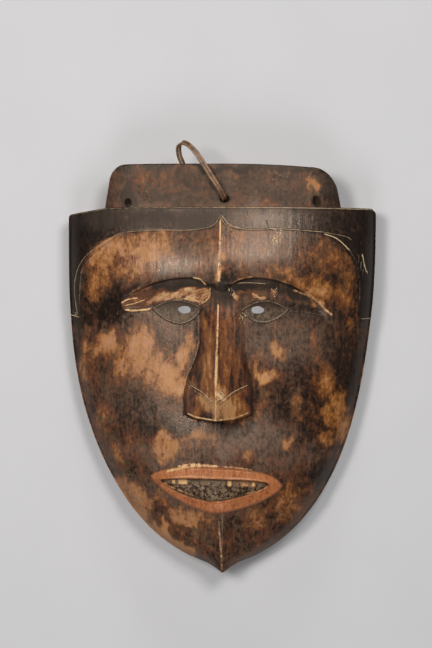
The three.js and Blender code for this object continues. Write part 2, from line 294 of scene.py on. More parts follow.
def carried(centre: Array, across: Array, rise: Array, section: Array) -> Array:
    """A section carried along a line, one ring for each centre: it + first * across + second * rise."""
    return centre[:, None] + section[:, :1] * across[:, None] + section[:, 1:] * rise[:, None]


def rounded_section(width: float, height: float, sides: int) -> Array:
    """A flat strip's section.

    Args:
        width: Its size along its first axis.
        height: Its size along its second axis.
        sides: How many points it has.

    Returns:
        Cosine and sine to the power of 0.6, which squares the oval a little, times half the sizes.
    """
    turn = np.arange(sides) / sides * 2 * np.pi
    oval = np.stack([np.cos(turn), np.sin(turn)], axis=1)
    return np.sign(oval) * np.abs(oval) ** 0.6 * [width / 2, height / 2]


# Shader nodes


class Value:
    """A number in a material. Sums and products of them add the Math nodes that work them out."""

    def __init__(self, sketch: "Sketch", socket: bpy.types.NodeSocket) -> None:
        """Wraps a socket of that material."""
        self.sketch = sketch
        self.socket = socket

    def __add__(self, other: Any) -> "Value":
        """self + other"""
        return self.sketch.math("ADD", self, other)

    __radd__ = __add__

    def __sub__(self, other: Any) -> "Value":
        """self - other"""
        return self.sketch.math("SUBTRACT", self, other)

    def __rsub__(self, other: Any) -> "Value":
        """other - self"""
        return self.sketch.math("SUBTRACT", other, self)

    def __mul__(self, other: Any) -> "Value":
        """self * other"""
        return self.sketch.math("MULTIPLY", self, other)

    __rmul__ = __mul__

    def size(self) -> "Value":
        """Itself without its sign."""
        return self.sketch.math("ABSOLUTE", self)

    def within(self, low: float, high: float) -> "Value":
        """How far it has come from low to high, from 0 to 1, with soft ends."""
        ends = {"Value": self, "From Min": low, "From Max": high}
        return self.sketch.value("ShaderNodeMapRange", {"interpolation_type": "SMOOTHSTEP"}, ends)


class Sketch:
    """A material being drawn up: its nodes, and the surface that they end in."""

    def __init__(self, name: str) -> None:
        """Starts an empty material with a surface and a place to read.

        Args:
            name: The material's name.
        """
        self.material = bpy.data.materials.new(name)
        self.material.use_nodes = True
        self.tree = self.material.node_tree
        self.tree.nodes.clear()
        output = self.tree.nodes.new("ShaderNodeOutputMaterial")
        self.surface = self.tree.nodes.new("ShaderNodeBsdfPrincipled")
        self.tree.links.new(self.surface.outputs[0], output.inputs["Surface"])
        self.place = self.node("ShaderNodeTexCoord").outputs["Object"]

    def node(
        self, kind: str, settings: dict[str, Any] | None = None, values: dict[Any, Any] | None = None
    ) -> bpy.types.Node:
        """Adds a node.

        Args:
            kind: The node's type.
            settings: What is set on the node itself. A list under "ramp" gives a ramp's stops.
            values: What goes into its sockets, by name or number: a value, a link or a Value.

        Returns:
            The node.
        """
        node = self.tree.nodes.new(kind)
        for name, setting in (settings or {}).items():
            if name == "ramp":
                self._stops(node.color_ramp, setting)
            else:
                setattr(node, name, setting)
        for name, value in (values or {}).items():
            self.plug(node.inputs[name], value)
        return node

    def value(self, kind: str, settings: dict[str, Any], values: dict[Any, Any]) -> Value:
        """Adds a node, and wraps its first output as a number."""
        return Value(self, self.node(kind, settings, values).outputs[0])

    @staticmethod
    def _stops(colours: bpy.types.ColorRamp, stops: Stops) -> None:
        """Sets a ramp's stops.

        Args:
            colours: The ramp.
            stops: The place and the colour of each.
        """
        while len(colours.elements) < len(stops):
            colours.elements.new(1.0)
        for element, (place, colour) in zip(colours.elements, stops):
            element.position = place
            element.color = (*colour, 1.0)

    def plug(self, socket: bpy.types.NodeSocket, value: Any) -> None:
        """Links a socket, or sets its own value.

        Args:
            socket: The socket.
            value: A link, a Value, or what the socket is set to.
        """
        if isinstance(value, Value):
            value = value.socket
        if isinstance(value, bpy.types.NodeSocket):
            self.tree.links.new(value, socket)
        else:
            socket.default_value = (*value, 1.0) if socket.type == "RGBA" and len(value) == 3 else value

    def math(self, operation: str, *values: Any) -> Value:
        """Adds one Math node."""
        return self.value("ShaderNodeMath", {"operation": operation}, dict(enumerate(values)))

    def attribute(self, name: str) -> Value:
        """Reads one of the piece's own attributes."""
        return Value(self, self.node("ShaderNodeAttribute", {"attribute_name": name}).outputs["Fac"])

    def noise(
        self, steps: Sequence[float], detail: float, roughness: float, bend: float = 0.0, dip: float = 0.0
    ) -> Value:
        """Smooth noise.

        Args:
            steps: The size of its blotches along X, Y and Z, in millimetres.
            detail: How many finer layers it has.
            roughness: How strong those are.
            bend: How far it is distorted.
            dip: How steeply its X axis falls away from the middle to both sides, in degrees.

        Returns:
            Values round 0.5.
        """
        place = self.place
        if dip:
            place = self.node("ShaderNodeVectorMath", {"operation": "ABSOLUTE"}, {0: place}).outputs[0]
        sizes = {"Vector": place, "Rotation": (0.0, 0.0, -np.radians(dip)), "Scale": [s * MM for s in steps]}
        mapped = self.node("ShaderNodeMapping", {"vector_type": "TEXTURE"}, sizes).outputs[0]
        values = {"Vector": mapped, "Scale": 1.0, "Detail": detail, "Roughness": roughness}
        return self.value("ShaderNodeTexNoise", {}, values | {"Distortion": bend})

    def ramp(self, value: Value, *stops: tuple[float, Colour]) -> bpy.types.NodeSocket:
        """A colour for each value, between stops."""
        return self.node("ShaderNodeValToRGB", {"ramp": stops}, {0: value}).outputs[0]

    def blend(self, factor: Any, under: Any, over: Any) -> bpy.types.NodeSocket:
        """Lays one colour over another by a factor."""
        return self.node("ShaderNodeMix", {"data_type": "RGBA"}, {0: factor, 6: under, 7: over}).outputs[2]

    def bump(self, height: Value, depth: float, strength: float, under: Any = None) -> bpy.types.NodeSocket:
        """Raises the surface.

        Args:
            height: How high it stands, where 1 is the depth.
            depth: How many millimetres that is.
            strength: How much of the bump shows.
            under: The normal that it starts from, if any.

        Returns:
            The normal.
        """
        values = {"Height": height, "Distance": depth * MM, "Strength": strength}
        if under is not None:
            values["Normal"] = under
        return self.node("ShaderNodeBump", {}, values).outputs[0]

    def finish(self, **sockets: Any) -> bpy.types.Material:
        """Plugs the surface.

        Args:
            **sockets: What goes into each socket, with _ for a space in its name.

        Returns:
            The material.
        """
        for name, value in sockets.items():
            self.plug(self.surface.inputs[name.replace("_", " ")], value)
        return self.material


# The carving: its outline and the height of its face, as the solid has them


def both(x: Array, left: Array, right: Array) -> Array:
    """Takes the left form's value where x is below 0, and the right form's elsewhere."""
    return np.where(x < 0, left, right)


@dataclass(frozen=True)
class Outline:
    """The shield: sides that keep their width past the eyes and curve in to a small pointed nib."""

    top: float = 124.0
    chin: float = -157.8
    half: float = 119.6
    sides_start: float = 128.5
    sides_end: float = -152.2
    power: float = 2.84
    root: float = 0.56
    nib_top: float = -148.0
    nib_slope: float = 1.62
    nib_half: float = 0.8
    lean: float = 1.9
    lean_middle: float = -5.0
    lean_reach: float = 70.0
    low_corner: Point = (-88.0, -120.0)
    low_drop: float = 4.6
    low_rows: float = 70.0
    face_end: float = 124.5

    def half_width(self, y: Array) -> Array:
        """Half the width.

        Args:
            y: Places along.

        Returns:
            1 less the share of the way down to a power, all to a root, times the greatest half. At the
            chin it is the nib's straight slope where that is wider.
        """
        s = part(self.sides_start, self.sides_end, y)
        lobe = self.half * (1 - s**self.power) ** self.root
        nib = np.where(y < self.nib_top, (y - self.chin) * self.nib_slope, 0.0)
        return np.maximum(np.maximum(lobe, nib), self.nib_half)

    def middle(self, y: Array) -> Array:
        """The middle line, which leans to the left at the nose by a bell curve."""
        return -self.lean * bell((y - self.lean_middle) / self.lean_reach)

    def drop(self, x: Array, row: Array) -> Array:
        """How far the left end of the top edge sinks."""
        return self.low_drop * part(*self.low_corner, x) * ramp(self.low_rows, self.top, row)


@dataclass(frozen=True)
class Brow:
    """One brow: a sharp upper edge that is a parabola either side of its peak."""

    peak: float
    top: float
    inner: float
    in_curve: float
    out_curve: float
    end: float

    def line(self, away: Array) -> Array:
        """The height of the edge on the face, top less curve times the distance squared."""
        curve = np.where(away < self.peak, self.in_curve, self.out_curve)
        return self.top - curve * (away - self.peak) ** 2


@dataclass(frozen=True)
class Eye:
    """One eye: an almond between two lids, with a hole through it."""

    inner: float
    outer: float
    y: float
    rise: float
    drop: float
    hole: Point
    skew: float = 0.86

    def lids(self, away: Array) -> tuple[Array, Array]:
        """Both lids.

        Args:
            away: The distance out from the face's middle.

        Returns:
            The upper and the lower lid's height on the face: parabolas over the almond's length, the
            lower one skewed.
        """
        e = part(self.inner, self.outer, away)
        low = e**self.skew
        return self.y + self.rise * 4 * e * (1 - e), self.y - self.drop * 4 * low * (1 - low)


@dataclass(frozen=True)
class Lens:
    """A lens across the mouth: a flat upper curve and a deeper lower one, between two corners."""

    left: float
    right: float
    left_y: float
    right_y: float
    rise: float
    drop: float
    apex: float
    upper_skew: float = 1.2
    upper_bend: float = 3.0
    upper_root: float = 0.6
    lower_bend: float = 1.5
    lower_root: float = 0.72

    def across(self, x: Array) -> Array:
        """How far x is from the left corner to the right one."""
        return (x - self.left) / (self.right - self.left)

    def chord(self, x: Array) -> Array:
        """The straight line between the corners."""
        return mix(self.left_y, self.right_y, self.across(x))

    def inside(self, x: Array, y: Array) -> Array:
        """How far each place is inside the lens.

        Args:
            x, y: The places.

        Returns:
            The distance up or down to the nearer curve, below 0 outside, and past a corner the distance
            to it. Each curve is 1 less a power of the way out from its apex, to a root.
        """
        e = np.clip(self.across(x), 0.0, 1.0)
        chord = mix(self.left_y, self.right_y, e)
        rise = self.rise * (1 - np.abs(2 * e**self.upper_skew - 1) ** self.upper_bend) ** self.upper_root
        away = np.where(e < self.apex, e / self.apex, (1 - e) / (1 - self.apex))
        fall = self.drop * (1 - (1 - away) ** self.lower_bend) ** self.lower_root
        nearest = np.minimum(chord + rise - y, y - chord + fall)
        past = np.maximum(self.left - x, x - self.right)
        return np.where(past < 0, nearest, -np.hypot(past, y - chord))


@dataclass(frozen=True)
class Nose:
    """The nose: a wedge that rises to its tip, with two facets, steeper walls and a flat underside."""

    middle: float = -5.0
    height: float = 33.0
    facet_fall: float = 0.62
    flare_rows: Point = (22.0, -22.0)
    root_halves: Point = (10.2, 15.6)
    tip_halves: Point = (22.4, 25.6)
    walls: Point = (2.4, 6.0)
    wall_loss: float = 0.6
    waist_rows: Point = (48.0, 62.0)
    waist: float = 0.8
    rise_rows: Point = (60.0, -20.0)
    tip_y: float = -37.7
    tip_sag: float = 0.1
    tip_curve: float = 4.2
    tip_wall: float = 1.6

    def over(self, x: Array, y: Array) -> Array:
        """How high the nose stands over the broad form.

        Args:
            x, y: The places.

        Returns:
            Its height, times the share of the way down from its root, times 1 less the facets' fall to
            the sides, times the slopes of its side walls and of its underside.
        """
        flare = ramp(*self.flare_rows, y)
        left = x < self.middle
        wall = np.where(left, self.walls[0], self.walls[1] * (1 - self.wall_loss * flare))
        half = mix(np.where(left, *self.root_halves), np.where(left, *self.tip_halves), flare)
        half = half * mix(1, self.waist, ramp(*self.waist_rows, y))
        away = np.abs(x - self.middle)
        across = np.clip(away / half, 0.0, 1.0)
        bottom = self.tip_y + self.tip_curve * across**3
        length = part(*self.rise_rows, y) * (1 - self.tip_sag * part(self.rise_rows[1], self.tip_y, y))
        side = part(half + wall, half, away)
        wedge = self.height * length * (1 - self.facet_fall * across)
        return wedge * side * part(bottom - self.tip_wall, bottom, y)


@dataclass(frozen=True)
class Carving:
    """The height of the face over the plane of the rim, feature by feature."""

    outline: Outline = Outline()
    nose: Nose = Nose()
    edge_z: float = 22.0
    top_z: float = 52.0
    brow_z: float = 60.0
    cheek_z: float = 56.0
    chin_z: float = 31.0
    steepest: float = 0.75
    roof_top: float = 0.1
    roof_middle: float = 0.2
    edge_roll: float = 4.0
    edge_roll_reach: float = 13.0
    wall: float = 16.0
    rim: float = 12.0
    rim_shift: float = 10.0
    hollow_top_z: float = 34.0
    overhang: float = 4.0
    brow_depth: float = 3.2
    brow_floor: float = 45.3
    socket_depth: float = 4.6
    lip_rise: float = 3.0
    cavity: float = 3.8
    tooth_rise: float = 3.0
    tooth_gap: float = 0.022
    tooth_ends: Point = (5.6, 4.6)
    teeth_fade: float = 12.0
    tooth_edges: tuple[float, ...] = (0, 0.09, 0.15, 0.26, 0.36, 0.47, 0.56, 0.61, 0.67, 0.73, 0.83, 0.89, 1)
    tooth_pale: tuple[float, ...] = (0.15, 0.85, 1.0, 0.1, 0.2, 0.12, 0.2, 0.95, 0.4, 0.62, 0.8, 0.2)
    muzzle_rise: float = 3.0
    muzzle_middle: Point = (-4.0, -58.0)
    muzzle_reach: Point = (48.0, 24.0)
    crease_start: Point = (46.0, -83.0)
    crease_slope: float = 0.24
    crease_depth: float = 1.8
    jaw_rise: float = 2.0
    brows: tuple[Brow, Brow] = (
        Brow(27.0, 69.7, 10.0, 0.0176, 0.0063, 77.0),
        Brow(24.0, 69.8, 6.0, 0.017, 0.0078, 84.0),
    )
    eyes: tuple[Eye, Eye] = (
        Eye(16.5, 53.0, 46.4, 6.2, 11.2, (-28.9, 45.5)),
        Eye(15.0, 49.7, 45.1, 6.9, 9.2, (26.5, 45.2)),
    )
    lips: Lens = Lens(-54.8, 45.7, -81.6, -89.6, 11.6, 24.6, 0.46)
    opening: Lens = Lens(-47.2, 34.8, -84.4, -87.3, 2.6, 14.4, 0.45)

    def crest(self, y: Array) -> Array:
        """The height down the middle, from the crown to the chin.

        Args:
            y: Places along.

        Returns:
            The crown's height, blended in turn to the brow's, the cheeks' and the chin's.
        """
        brow = mix(self.top_z, self.brow_z, ramp(self.outline.top, 78, y))
        cheek = mix(brow, self.cheek_z, ramp(76, 44, y))
        return mix(cheek, self.chin_z, part(-98, self.outline.chin, y) ** 1.25)

    def broad(self, x: Array, y: Array) -> Array:
        """The broad form.

        Args:
            x, y: The places.

        Returns:
            The height from the crest to the edge: part straight like a roof, and the rest rounded as
            the way out to the power of 2.6, less a roll at the edge that is a square.
        """
        half = self.outline.half_width(y)
        across = np.clip(np.abs(x - self.outline.middle(y)) / half, 0.0, 1.0)
        middle = self.crest(y)
        edge = np.maximum(self.edge_z, middle - self.steepest * half)
        roof = mix(mix(self.roof_top, self.roof_middle, ramp(40, 90, y)), self.steepest, ramp(-80, -125, y))
        fall = roof * across + (1 - roof) * across**2.6
        roll = part(self.edge_roll_reach, 0, (1 - across) * half) ** 2 * self.edge_roll
        return mix(middle, edge, fall) - roll * ramp(0, 40, half)

    def bend(self, x: Array, row: Array) -> Array:
        """How far a row of the grid bends, so that it follows the upper edge of the brow.

        Args:
            x: Places across.
            row: The row's own place along.

        Returns:
            The brow's fall from its peak, up to 11 mm, fading to rows 40 and 112 and to the sides.
        """

        def shift(brow: Brow) -> Array:
            """One brow's fall, times the row's nearness to its peak, times the fade at the side."""
            away = np.abs(x)
            most = np.maximum(brow.line(np.maximum(away, brow.inner)) - brow.top, -11.0)
            rows = np.minimum(part(40, brow.top, row), part(112, brow.top, row))
            return most * rows * ramp(self.outline.half_width(row), brow.end, away)

        return both(x, *(shift(brow) for brow in self.brows))

    def forehead(self, x: Array, y: Array) -> Array:
        """How far the forehead stands proud of what is below the brow's edge.

        Args:
            x, y: The places.

        Returns:
            The overhang above the edge and 0 below it, with a step that softens at both ends.
        """

        def step(brow: Brow) -> Array:
            """A soft ramp across one brow's line, wider before its inner end and past its outer end."""
            away = np.abs(x)
            line = brow.line(np.clip(away, brow.inner, brow.end))
            soft = 0.8 + 6 * ramp(brow.inner, 0, away) + 13 * ramp(brow.end - 26, brow.end + 8, away)
            return self.overhang * ramp(line - soft * 1.4, line + soft * 0.6, y)

        return both(x, *(step(brow) for brow in self.brows))

    def brow_hollow(self, x: Array, y: Array) -> Array:
        """The hollow below the brow's edge.

        Args:
            x, y: The places.

        Returns:
            Its depth, which is greatest at the edge and rises to the lid.
        """

        def depth(brow: Brow, eye: Eye) -> Array:
            """The greatest depth, times the way up from the lid to a power, fading at the ends."""
            away = np.abs(x)
            inner_wall = brow.line(np.float64(brow.inner)) - (away - brow.inner) * 1.9
            low = np.maximum(np.maximum(self.brow_floor, inner_wall), eye.lids(away)[0])
            t = part(low, brow.line(away), y)
            ends = ramp(brow.inner, brow.inner + 3, away) * ramp(brow.end, brow.end - 22, away)
            return self.brow_depth * ends * t**0.7 * ramp(1, 0.9, t)

        return both(x, *(depth(brow, eye) for brow, eye in zip(self.brows, self.eyes)))

    def socket(self, x: Array, y: Array) -> Array:
        """The eye's recess: steep below the upper lid, and sloping up to the lower one.

        Args:
            x, y: The places.

        Returns:
            Its depth.
        """

        def depth(eye: Eye) -> Array:
            """The greatest depth between soft ramps from both lids, less where they lie close."""
            high, low = eye.lids(np.abs(x))
            t = part(low, high, y)
            corners = np.minimum(1.0, (high - low) / 9.0)
            return self.socket_depth * corners * ramp(0, 0.62, t) * ramp(1, 0.93, t)

        return both(x, *(depth(eye) for eye in self.eyes))

    def mouth(self, x: Array, y: Array) -> Array:
        """What the lips' flat band adds to the skin, or inside the opening the teeth less the cavity."""
        band, cut = part(0, 1.4, self.lips.inside(x, y)), part(0, 1.6, self.opening.inside(x, y))
        return mix(self.lip_rise * band, self.teeth(x, y) - self.cavity, cut)

    def teeth(self, x: Array, y: Array) -> Array:
        """The upper row of teeth, which hang from the upper lip.

        Args:
            x, y: The places.

        Returns:
            Their rise over the cavity, 0 at each tooth's edges and below their ends.
        """
        e = self.opening.across(x)
        top = self.opening.chord(x) + self.opening.rise
        low, high = (top - end for end in self.tooth_ends)
        gap = np.min([np.abs(e - edge) for edge in self.tooth_edges], axis=0)
        fade = np.clip(np.minimum(e, 1 - e) * self.teeth_fade, 0.0, 1.0)
        return self.tooth_rise * ramp(0.0, self.tooth_gap, gap) * ramp(low, high, y) * fade

    def jaw(self, x: Array, y: Array) -> Array:
        """The crease from each corner of the mouth to the side, and the step below it.

        Args:
            x, y: The places.

        Returns:
            What they add to the skin: a bell curve down along the crease, and a soft step up below it.
        """
        away = np.abs(x - self.outline.middle(y))
        line = self.crease_start[1] - self.crease_slope * (away - self.crease_start[0])
        crease = -self.crease_depth * bell((y - line) / 5)
        return ramp(37, 55, away) * (crease + self.jaw_rise * ramp(line, line - 14, y))

    def front(self, x: Array, y: Array) -> Array:
        """The whole face.

        Args:
            x, y: The places.

        Returns:
            The greater of the skin with its features and the nose on the broad form.
        """
        broad = self.broad(x, y)
        across, along = ((v - m) / r for v, m, r in zip((x, y), self.muzzle_middle, self.muzzle_reach))
        muzzle = self.muzzle_rise * bell(across) * bell(along)
        skin = broad + muzzle + self.forehead(x, y) - self.brow_hollow(x, y) - self.socket(x, y)
        return np.maximum(skin + self.mouth(x, y) + self.jaw(x, y), broad + self.nose.over(x, y))

    def inner_half(self, y: Array) -> Array:
        """Half the width of the hollow."""
        return np.maximum(self.outline.half_width(y - self.rim_shift) - self.rim, 0.0)

    def hollow(self, x: Array, y: Array) -> Array:
        """The hollow back.

        Args:
            x, y: The places.

        Returns:
            Its height: the face's less the wall down the middle, times 1 less the cube of the way out
            and 1 less the cube of the way to the chin, to a root that makes its sides steep.
        """
        inner = np.maximum(self.inner_half(y), 1e-6)
        side = np.clip(np.abs(x - self.outline.middle(y)) / inner, 0.0, 1.0) ** 3
        below = np.minimum(self.crest(y), self.cheek_z) - self.wall
        middle = mix(self.hollow_top_z, below, ramp(104, 66, y))
        end = part(-60, -143, y) ** 3
        return middle * ((1 - end) * (1 - side)) ** 0.55


# What the years and the knife left on it, with the painted shade, sheen and highlights


class Mark(Enum):
    """What a spot is, and the name of the attribute that holds it."""

    WORN = "worn"
    # Grey dust, and painted sheen in places.
    GREY = "grey"
    # Dark patina, and painted shade in places.
    DARK = "dark"
    SPLIT = "split"
    # Pale flecks, and painted glints in places.
    FLECKED = "flecked"
    GOLDEN = "golden"
    MATTE = "matte"


@dataclass(frozen=True)
class Spot:
    """An oval place on the face: its kind, middle, half its width and height, its level and its turn."""

    mark: Mark
    x: float
    y: float
    wide: float
    high: float
    level: float
    turn: float = 0.0

    def over(self, x: Array, y: Array) -> Array:
        """Its strength.

        Args:
            x, y: The places.

        Returns:
            The level times e to the power of minus 0.55 times d, where d is the square of the distance
            in half sizes, to the power of 1.4.
        """
        turn = np.radians(self.turn)
        dx, dy = x - self.x, y - self.y
        across = (dx * np.cos(turn) + dy * np.sin(turn)) / self.wide
        along = (dy * np.cos(turn) - dx * np.sin(turn)) / self.high
        return self.level * np.exp(-0.55 * (across**2 + along**2) ** 1.4)


def spots_of(mark: Mark, *rows: Sequence[float]) -> tuple[Spot, ...]:
    """Makes the spots of one kind, each from a row of the rest of its values."""
    return tuple(Spot(mark, *row) for row in rows)


@dataclass(frozen=True)
class Line:
    """A line on the face: a cut of the knife's point, or a ridge where it stands proud, pale with wear and
    in places with a painted highlight.
    """

    points: tuple[Point, ...]
    width: float
    depth: float
    pale: float
    fade: float = 2.5
    end_fade: float = 1.5

    def over(self, x: Array, y: Array) -> tuple[Array, Array, Array]:
        """Where each place is beside the line.

        Args:
            x, y: The places.

        Returns:
            The distance to it, the distance out from it over three widths, above 0 on its left and held
            between -1 and 1, and 1 within three widths of it, falling to 0 over the fade.
        """
        line = smooth_line(self.points, 6)
        away, out, around = np.full(x.shape, np.inf), np.ones(x.shape), np.zeros(x.shape)
        reach = 3 * self.width + self.fade
        low, high = line.min(axis=0) - 3 * reach, line.max(axis=0) + 3 * reach
        inside = (x > low[0]) & (x < high[0]) & (y > low[1]) & (y < high[1])
        near, side = beside(line, x[inside], y[inside])
        past_end = np.sqrt(np.maximum(near**2 - side**2, 0.0))
        away[inside] = near
        out[inside] = np.clip(side / (3 * self.width), -1.0, 1.0)
        around[inside] = part(reach, 3 * self.width, near) * part(self.end_fade, 0, past_end)
        return away, out, around


@dataclass(frozen=True)
class Lines:
    """A set of lines on the face that lie well apart, as fields over it."""

    lines: tuple[Line, ...]

    def over(self, x: Array, y: Array) -> tuple[Array, Array, Array]:
        """The lines at each place.

        Args:
            x, y: The places.

        Returns:
            How far out the nearest line is from -1 to 1, how pale it is, and how many millimetres it
            stands proud, which is below 0 in a cut.
        """
        nearest, beside_it = np.full(x.shape, np.inf), np.ones(x.shape)
        pale, proud = np.zeros(x.shape), np.zeros(x.shape)
        for line in self.lines:
            away, out, around = line.over(x, y)
            nearer = away < nearest
            nearest = np.where(nearer, away, nearest)
            beside_it = np.where(nearer, out, beside_it)
            pale = np.where(nearer, line.pale * around, pale)
            proud = proud - line.depth * ramp(1.8 * line.width, 0, away)
        return beside_it, pale, proud


def lines_of(*rows: Sequence[Any]) -> Lines:
    """Makes a set of lines, each from a row of its width, its depth, how pale it is and its places."""
    return Lines(tuple(Line(tuple(row[3:]), *row[:3]) for row in rows))


# Spots: in each row the x and y of the middle, half the width and height, the level and the turn

WORN_SPOTS = spots_of(Mark.WORN,
    # Forehead, from the viewer's left
    (-94, 76, 17, 24, 0.74, -8), (-84, 92, 17, 11, 0.78), (-58, 93, 27, 12, 0.77), (-100, 58, 11, 14, 0.72),
    (-70, 78, 22, 12, 0.66), (-63, 62.5, 13, 2.6, 0.95, 24), (-20, 92, 24, 20, 0.5),
    (26, 92, 30, 20, 0.55), (15, 98, 15, 14, 0.6), (-4, 75, 4, 8, 0.95), (50, 72, 24, 9, 0.7, -12),
    (75, 64, 17, 10, 0.76, -25), (94, 55, 12, 18, 0.66), (66, 56, 12, 3.5, 0.9, -30),
    (78, 48, 8, 3.5, 0.88, -42), (45, 56, 8, 4, 0.62, -10), (101, 80, 9, 26, 0.56), (80, 88, 22, 14, 0.52),
    # Left cheek
    (-87, 19, 12, 14, 0.94), (-64, 12, 16, 20, 0.9), (-44, -3, 18, 16, 0.9, -25), (-28, 16, 7, 17, 0.95),
    (-32, -12, 12, 12, 0.88), (-74, 0, 16, 12, 0.8, -20), (-105, 24, 5, 9, 0.78),
    (-107, -1, 4.5, 16, 0.66), (-52, -22, 24, 13, 0.44),
    # Left jaw and chin
    (-88, -36, 11, 15, 0.66), (-72, -54, 7, 13, 0.6, 20), (-80, -70, 9, 17, 0.64, 22),
    (-42, -57, 12, 9, 0.98), (-15, -51, 14, 8, 0.86), (-28, -112, 20, 10, 0.88, -12),
    (-46, -104, 20, 9, 0.6, -25), (-66, -99, 11, 16, 0.84, 35), (-43, -132, 25, 6.5, 1.15, -41),
    (-67, -112, 5.5, 22, 0.95, 38), (-80, -92, 5, 12, 0.8, 26),
    # Right cheek
    (42, 21, 5, 11, 0.98), (31, -4, 8, 8, 1.06), (33, -30, 9, 16, 0.62), (58, -27, 4.5, 12, 0.78),
    (70, 0, 5, 13, 0.66), (77, -9, 8, 15, 0.8), (86, -28, 8, 17, 0.86, -8), (91, -43, 7, 11, 0.86),
    (79, -55, 5.5, 9, 0.78), (46, -56, 6.5, 6, 1.02), (107, -4, 5, 9, 0.84), (101, 33, 4, 5, 0.78),
    (71, 24, 9, 24, 0.56), (28, 11, 8, 14, 0.52), (55, -42, 14, 20, 0.42), (16, -69, 7, 6, 0.72),
    # Right chin
    (56, -100, 16, 14, 0.74, 30), (24, -114, 18, 14, 0.62), (70, -96, 12, 12, 0.62, 30),
    # Nose
    (-13, 8, 7, 40, 0.66), (5, 14, 6, 34, 0.6), (-13, -28, 10, 8, 1.15), (3, -28, 8, 9, 1.15),
    (14, -26, 7, 12, 0.84), (-1, -20, 9, 7, 0.8),
    # The flange
    (-52, 149.5, 27, 4, 0.54), (-82, 146, 9, 6, 0.5), (-83, 130, 6, 8, 0.54), (-50, 134, 20, 9, 0.4),
    (73.5, 143, 4.5, 8, 1.0), (12, 153, 4, 3, 0.72), (36, 126.5, 44, 1.8, 0.58),
    (-40, 125.5, 44, 1.8, 0.6),
)
GROUND_SPOTS = spots_of(Mark.WORN,
    (-60, -20, 60, 34, 0.47), (40, -30, 40, 60, 0.43), (0, 90, 110, 26, 0.46), (-20, -118, 60, 34, 0.48),
    (-10, -56, 50, 16, 0.5), (0, 140, 110, 17, 0.34),
)
GREY_SPOTS = spots_of(Mark.GREY,
    # Grey dust, and painted sheen where the lights would reflect: on the forehead and on the band at (34,
    # 115.5), under the eyes, under the nose and on its tip.
    (-36, 81, 15, 15, 0.75), (-34, 30, 24, 11, 0.22), (44, 25, 30, 17, 0.8), (18, -53, 26, 11, 1.3),
    (-30, -66, 40, 9, 0.7), (-6, -30, 10, 6, 0.9), (48, -70, 24, 10, 0.5), (34, 92, 18, 16, 0.6),
    (34, 115.5, 22, 7, 1.2), (-56, -22, 40, 16, 0.35), (-62, 30, 20, 8, 0.2), (-30, -96, 30, 8, 0.6, -15),
    (36, 142, 50, 15, 0.3), (-30, 137, 60, 9, 0.15),
)
DARK_SPOTS = spots_of(Mark.DARK,
    # Mostly dark patina; the spots at the nose's root (-10, 60), (5, 60) and (-2, 56), beside its left wall
    # (-22, 4) and under its tip (-4, -43) are painted shadow.
    (-84, 48, 26, 9, 0.85, 18), (-70, 58, 20, 9, 0.7, 20), (-113, 100, 12, 20, 0.6),
    (-60, 115, 52, 8, 0.25), (-14, 116, 12, 5, 0.6), (-113, 50, 6, 40, 0.6), (-60, -32, 34, 12, 0.6, -12),
    (98, 5, 14, 26, 0.75), (54, -22, 26, 44, 0.38), (112, 95, 9, 34, 0.7), (84, -84, 22, 9, 0.9, 20),
    (-72, -84, 14, 5, 0.7, -20), (-4, -43, 34, 6, 0.8), (6, -118, 16, 18, 0.4),
    (-46, -117, 24, 5, 0.3, -42), (-22, 4, 5, 40, 0.6), (62, 44, 18, 5, 0.8, -18), (-10, 60, 6, 12, 1.0),
    (5, 60, 6, 12, 1.0), (-2, 56, 9, 6, 0.9), (-76, 137, 9, 9, 0.8), (86, 140, 8, 16, 0.8),
    (-20, 142, 12, 12, 0.35), (16, 140, 44, 12, 0.35), (0, 157, 100, 2.6, 0.9, -1.2),
)
SPLIT_SPOTS = spots_of(Mark.SPLIT,
    (-24.5, 57.6, 18, 6.5, 1.0, 6), (-46, 52, 13, 4.4, 0.82, 10), (-66, 52, 14, 7, 0.56, 22),
    (27, 56.6, 5.5, 2.2, 1.0), (9.5, 58, 2.2, 8, 0.78, 28), (16, 57, 5, 2.4, 0.62),
    (38, 58.5, 2.2, 5, 0.66),
)
GOLDEN_SPOTS = spots_of(Mark.GOLDEN,
    (86, -28, 24, 40, 1.0), (75, 66, 30, 20, 0.8), (104, 30, 12, 60, 0.8), (-96, 66, 20, 22, 0.7),
    (-55, 97, 20, 10, 0.5), (12, -28, 10, 12, 0.9), (31, -4, 10, 10, 0.8), (42, 21, 8, 12, 0.8),
    (-34, -10, 14, 14, 0.5), (60, -100, 24, 20, 0.6), (-50, 147, 34, 10, 0.6), (42, -30, 22, 30, 0.45),
)
FLECK_SPOTS = spots_of(Mark.FLECKED,
    # Pale flecks of scratched wood; those at (-2.5, -20) and (-5, -30) on the nose's tip and at (-14, -88)
    # in the mouth are painted glints.
    (9, 58, 2.6, 7, 2.0, 28), (14, 37, 3.5, 4, 1.8), (-16.5, 51.5, 3, 4.5, 0.8), (-66, 52, 16, 6, 0.8, 20),
    (38, 58, 2.4, 5, 1.8), (41, 99, 4, 5, 1.8), (22, 115, 16, 8, 0.6), (-25, 86, 16, 14, 0.6),
    (-2.5, -20, 3, 3.4, 2.4), (-24, -10, 4, 3, 1.2), (-5, -30, 10, 8, 1.2), (-14, -88, 16, 9, 0.9),
    (-24, -72, 18, 2.5, 0.6), (50, 16, 12, 14, 0.7), (46, 147, 14, 8, 0.6), (-60, 138, 18, 12, 0.4),
)
MATTE_SPOTS = spots_of(Mark.MATTE,
    (-2, 56, 15, 10, 1.0), (-66, 116, 58, 8, 0.65), (-20, 117, 18, 7, 0.5), (0, 142, 110, 18, 0.7),
)
SPOTS = WORN_SPOTS + GREY_SPOTS + DARK_SPOTS + SPLIT_SPOTS + GOLDEN_SPOTS + FLECK_SPOTS + MATTE_SPOTS

# Lines: in each row the width, the depth, how pale it is, and the places that it passes

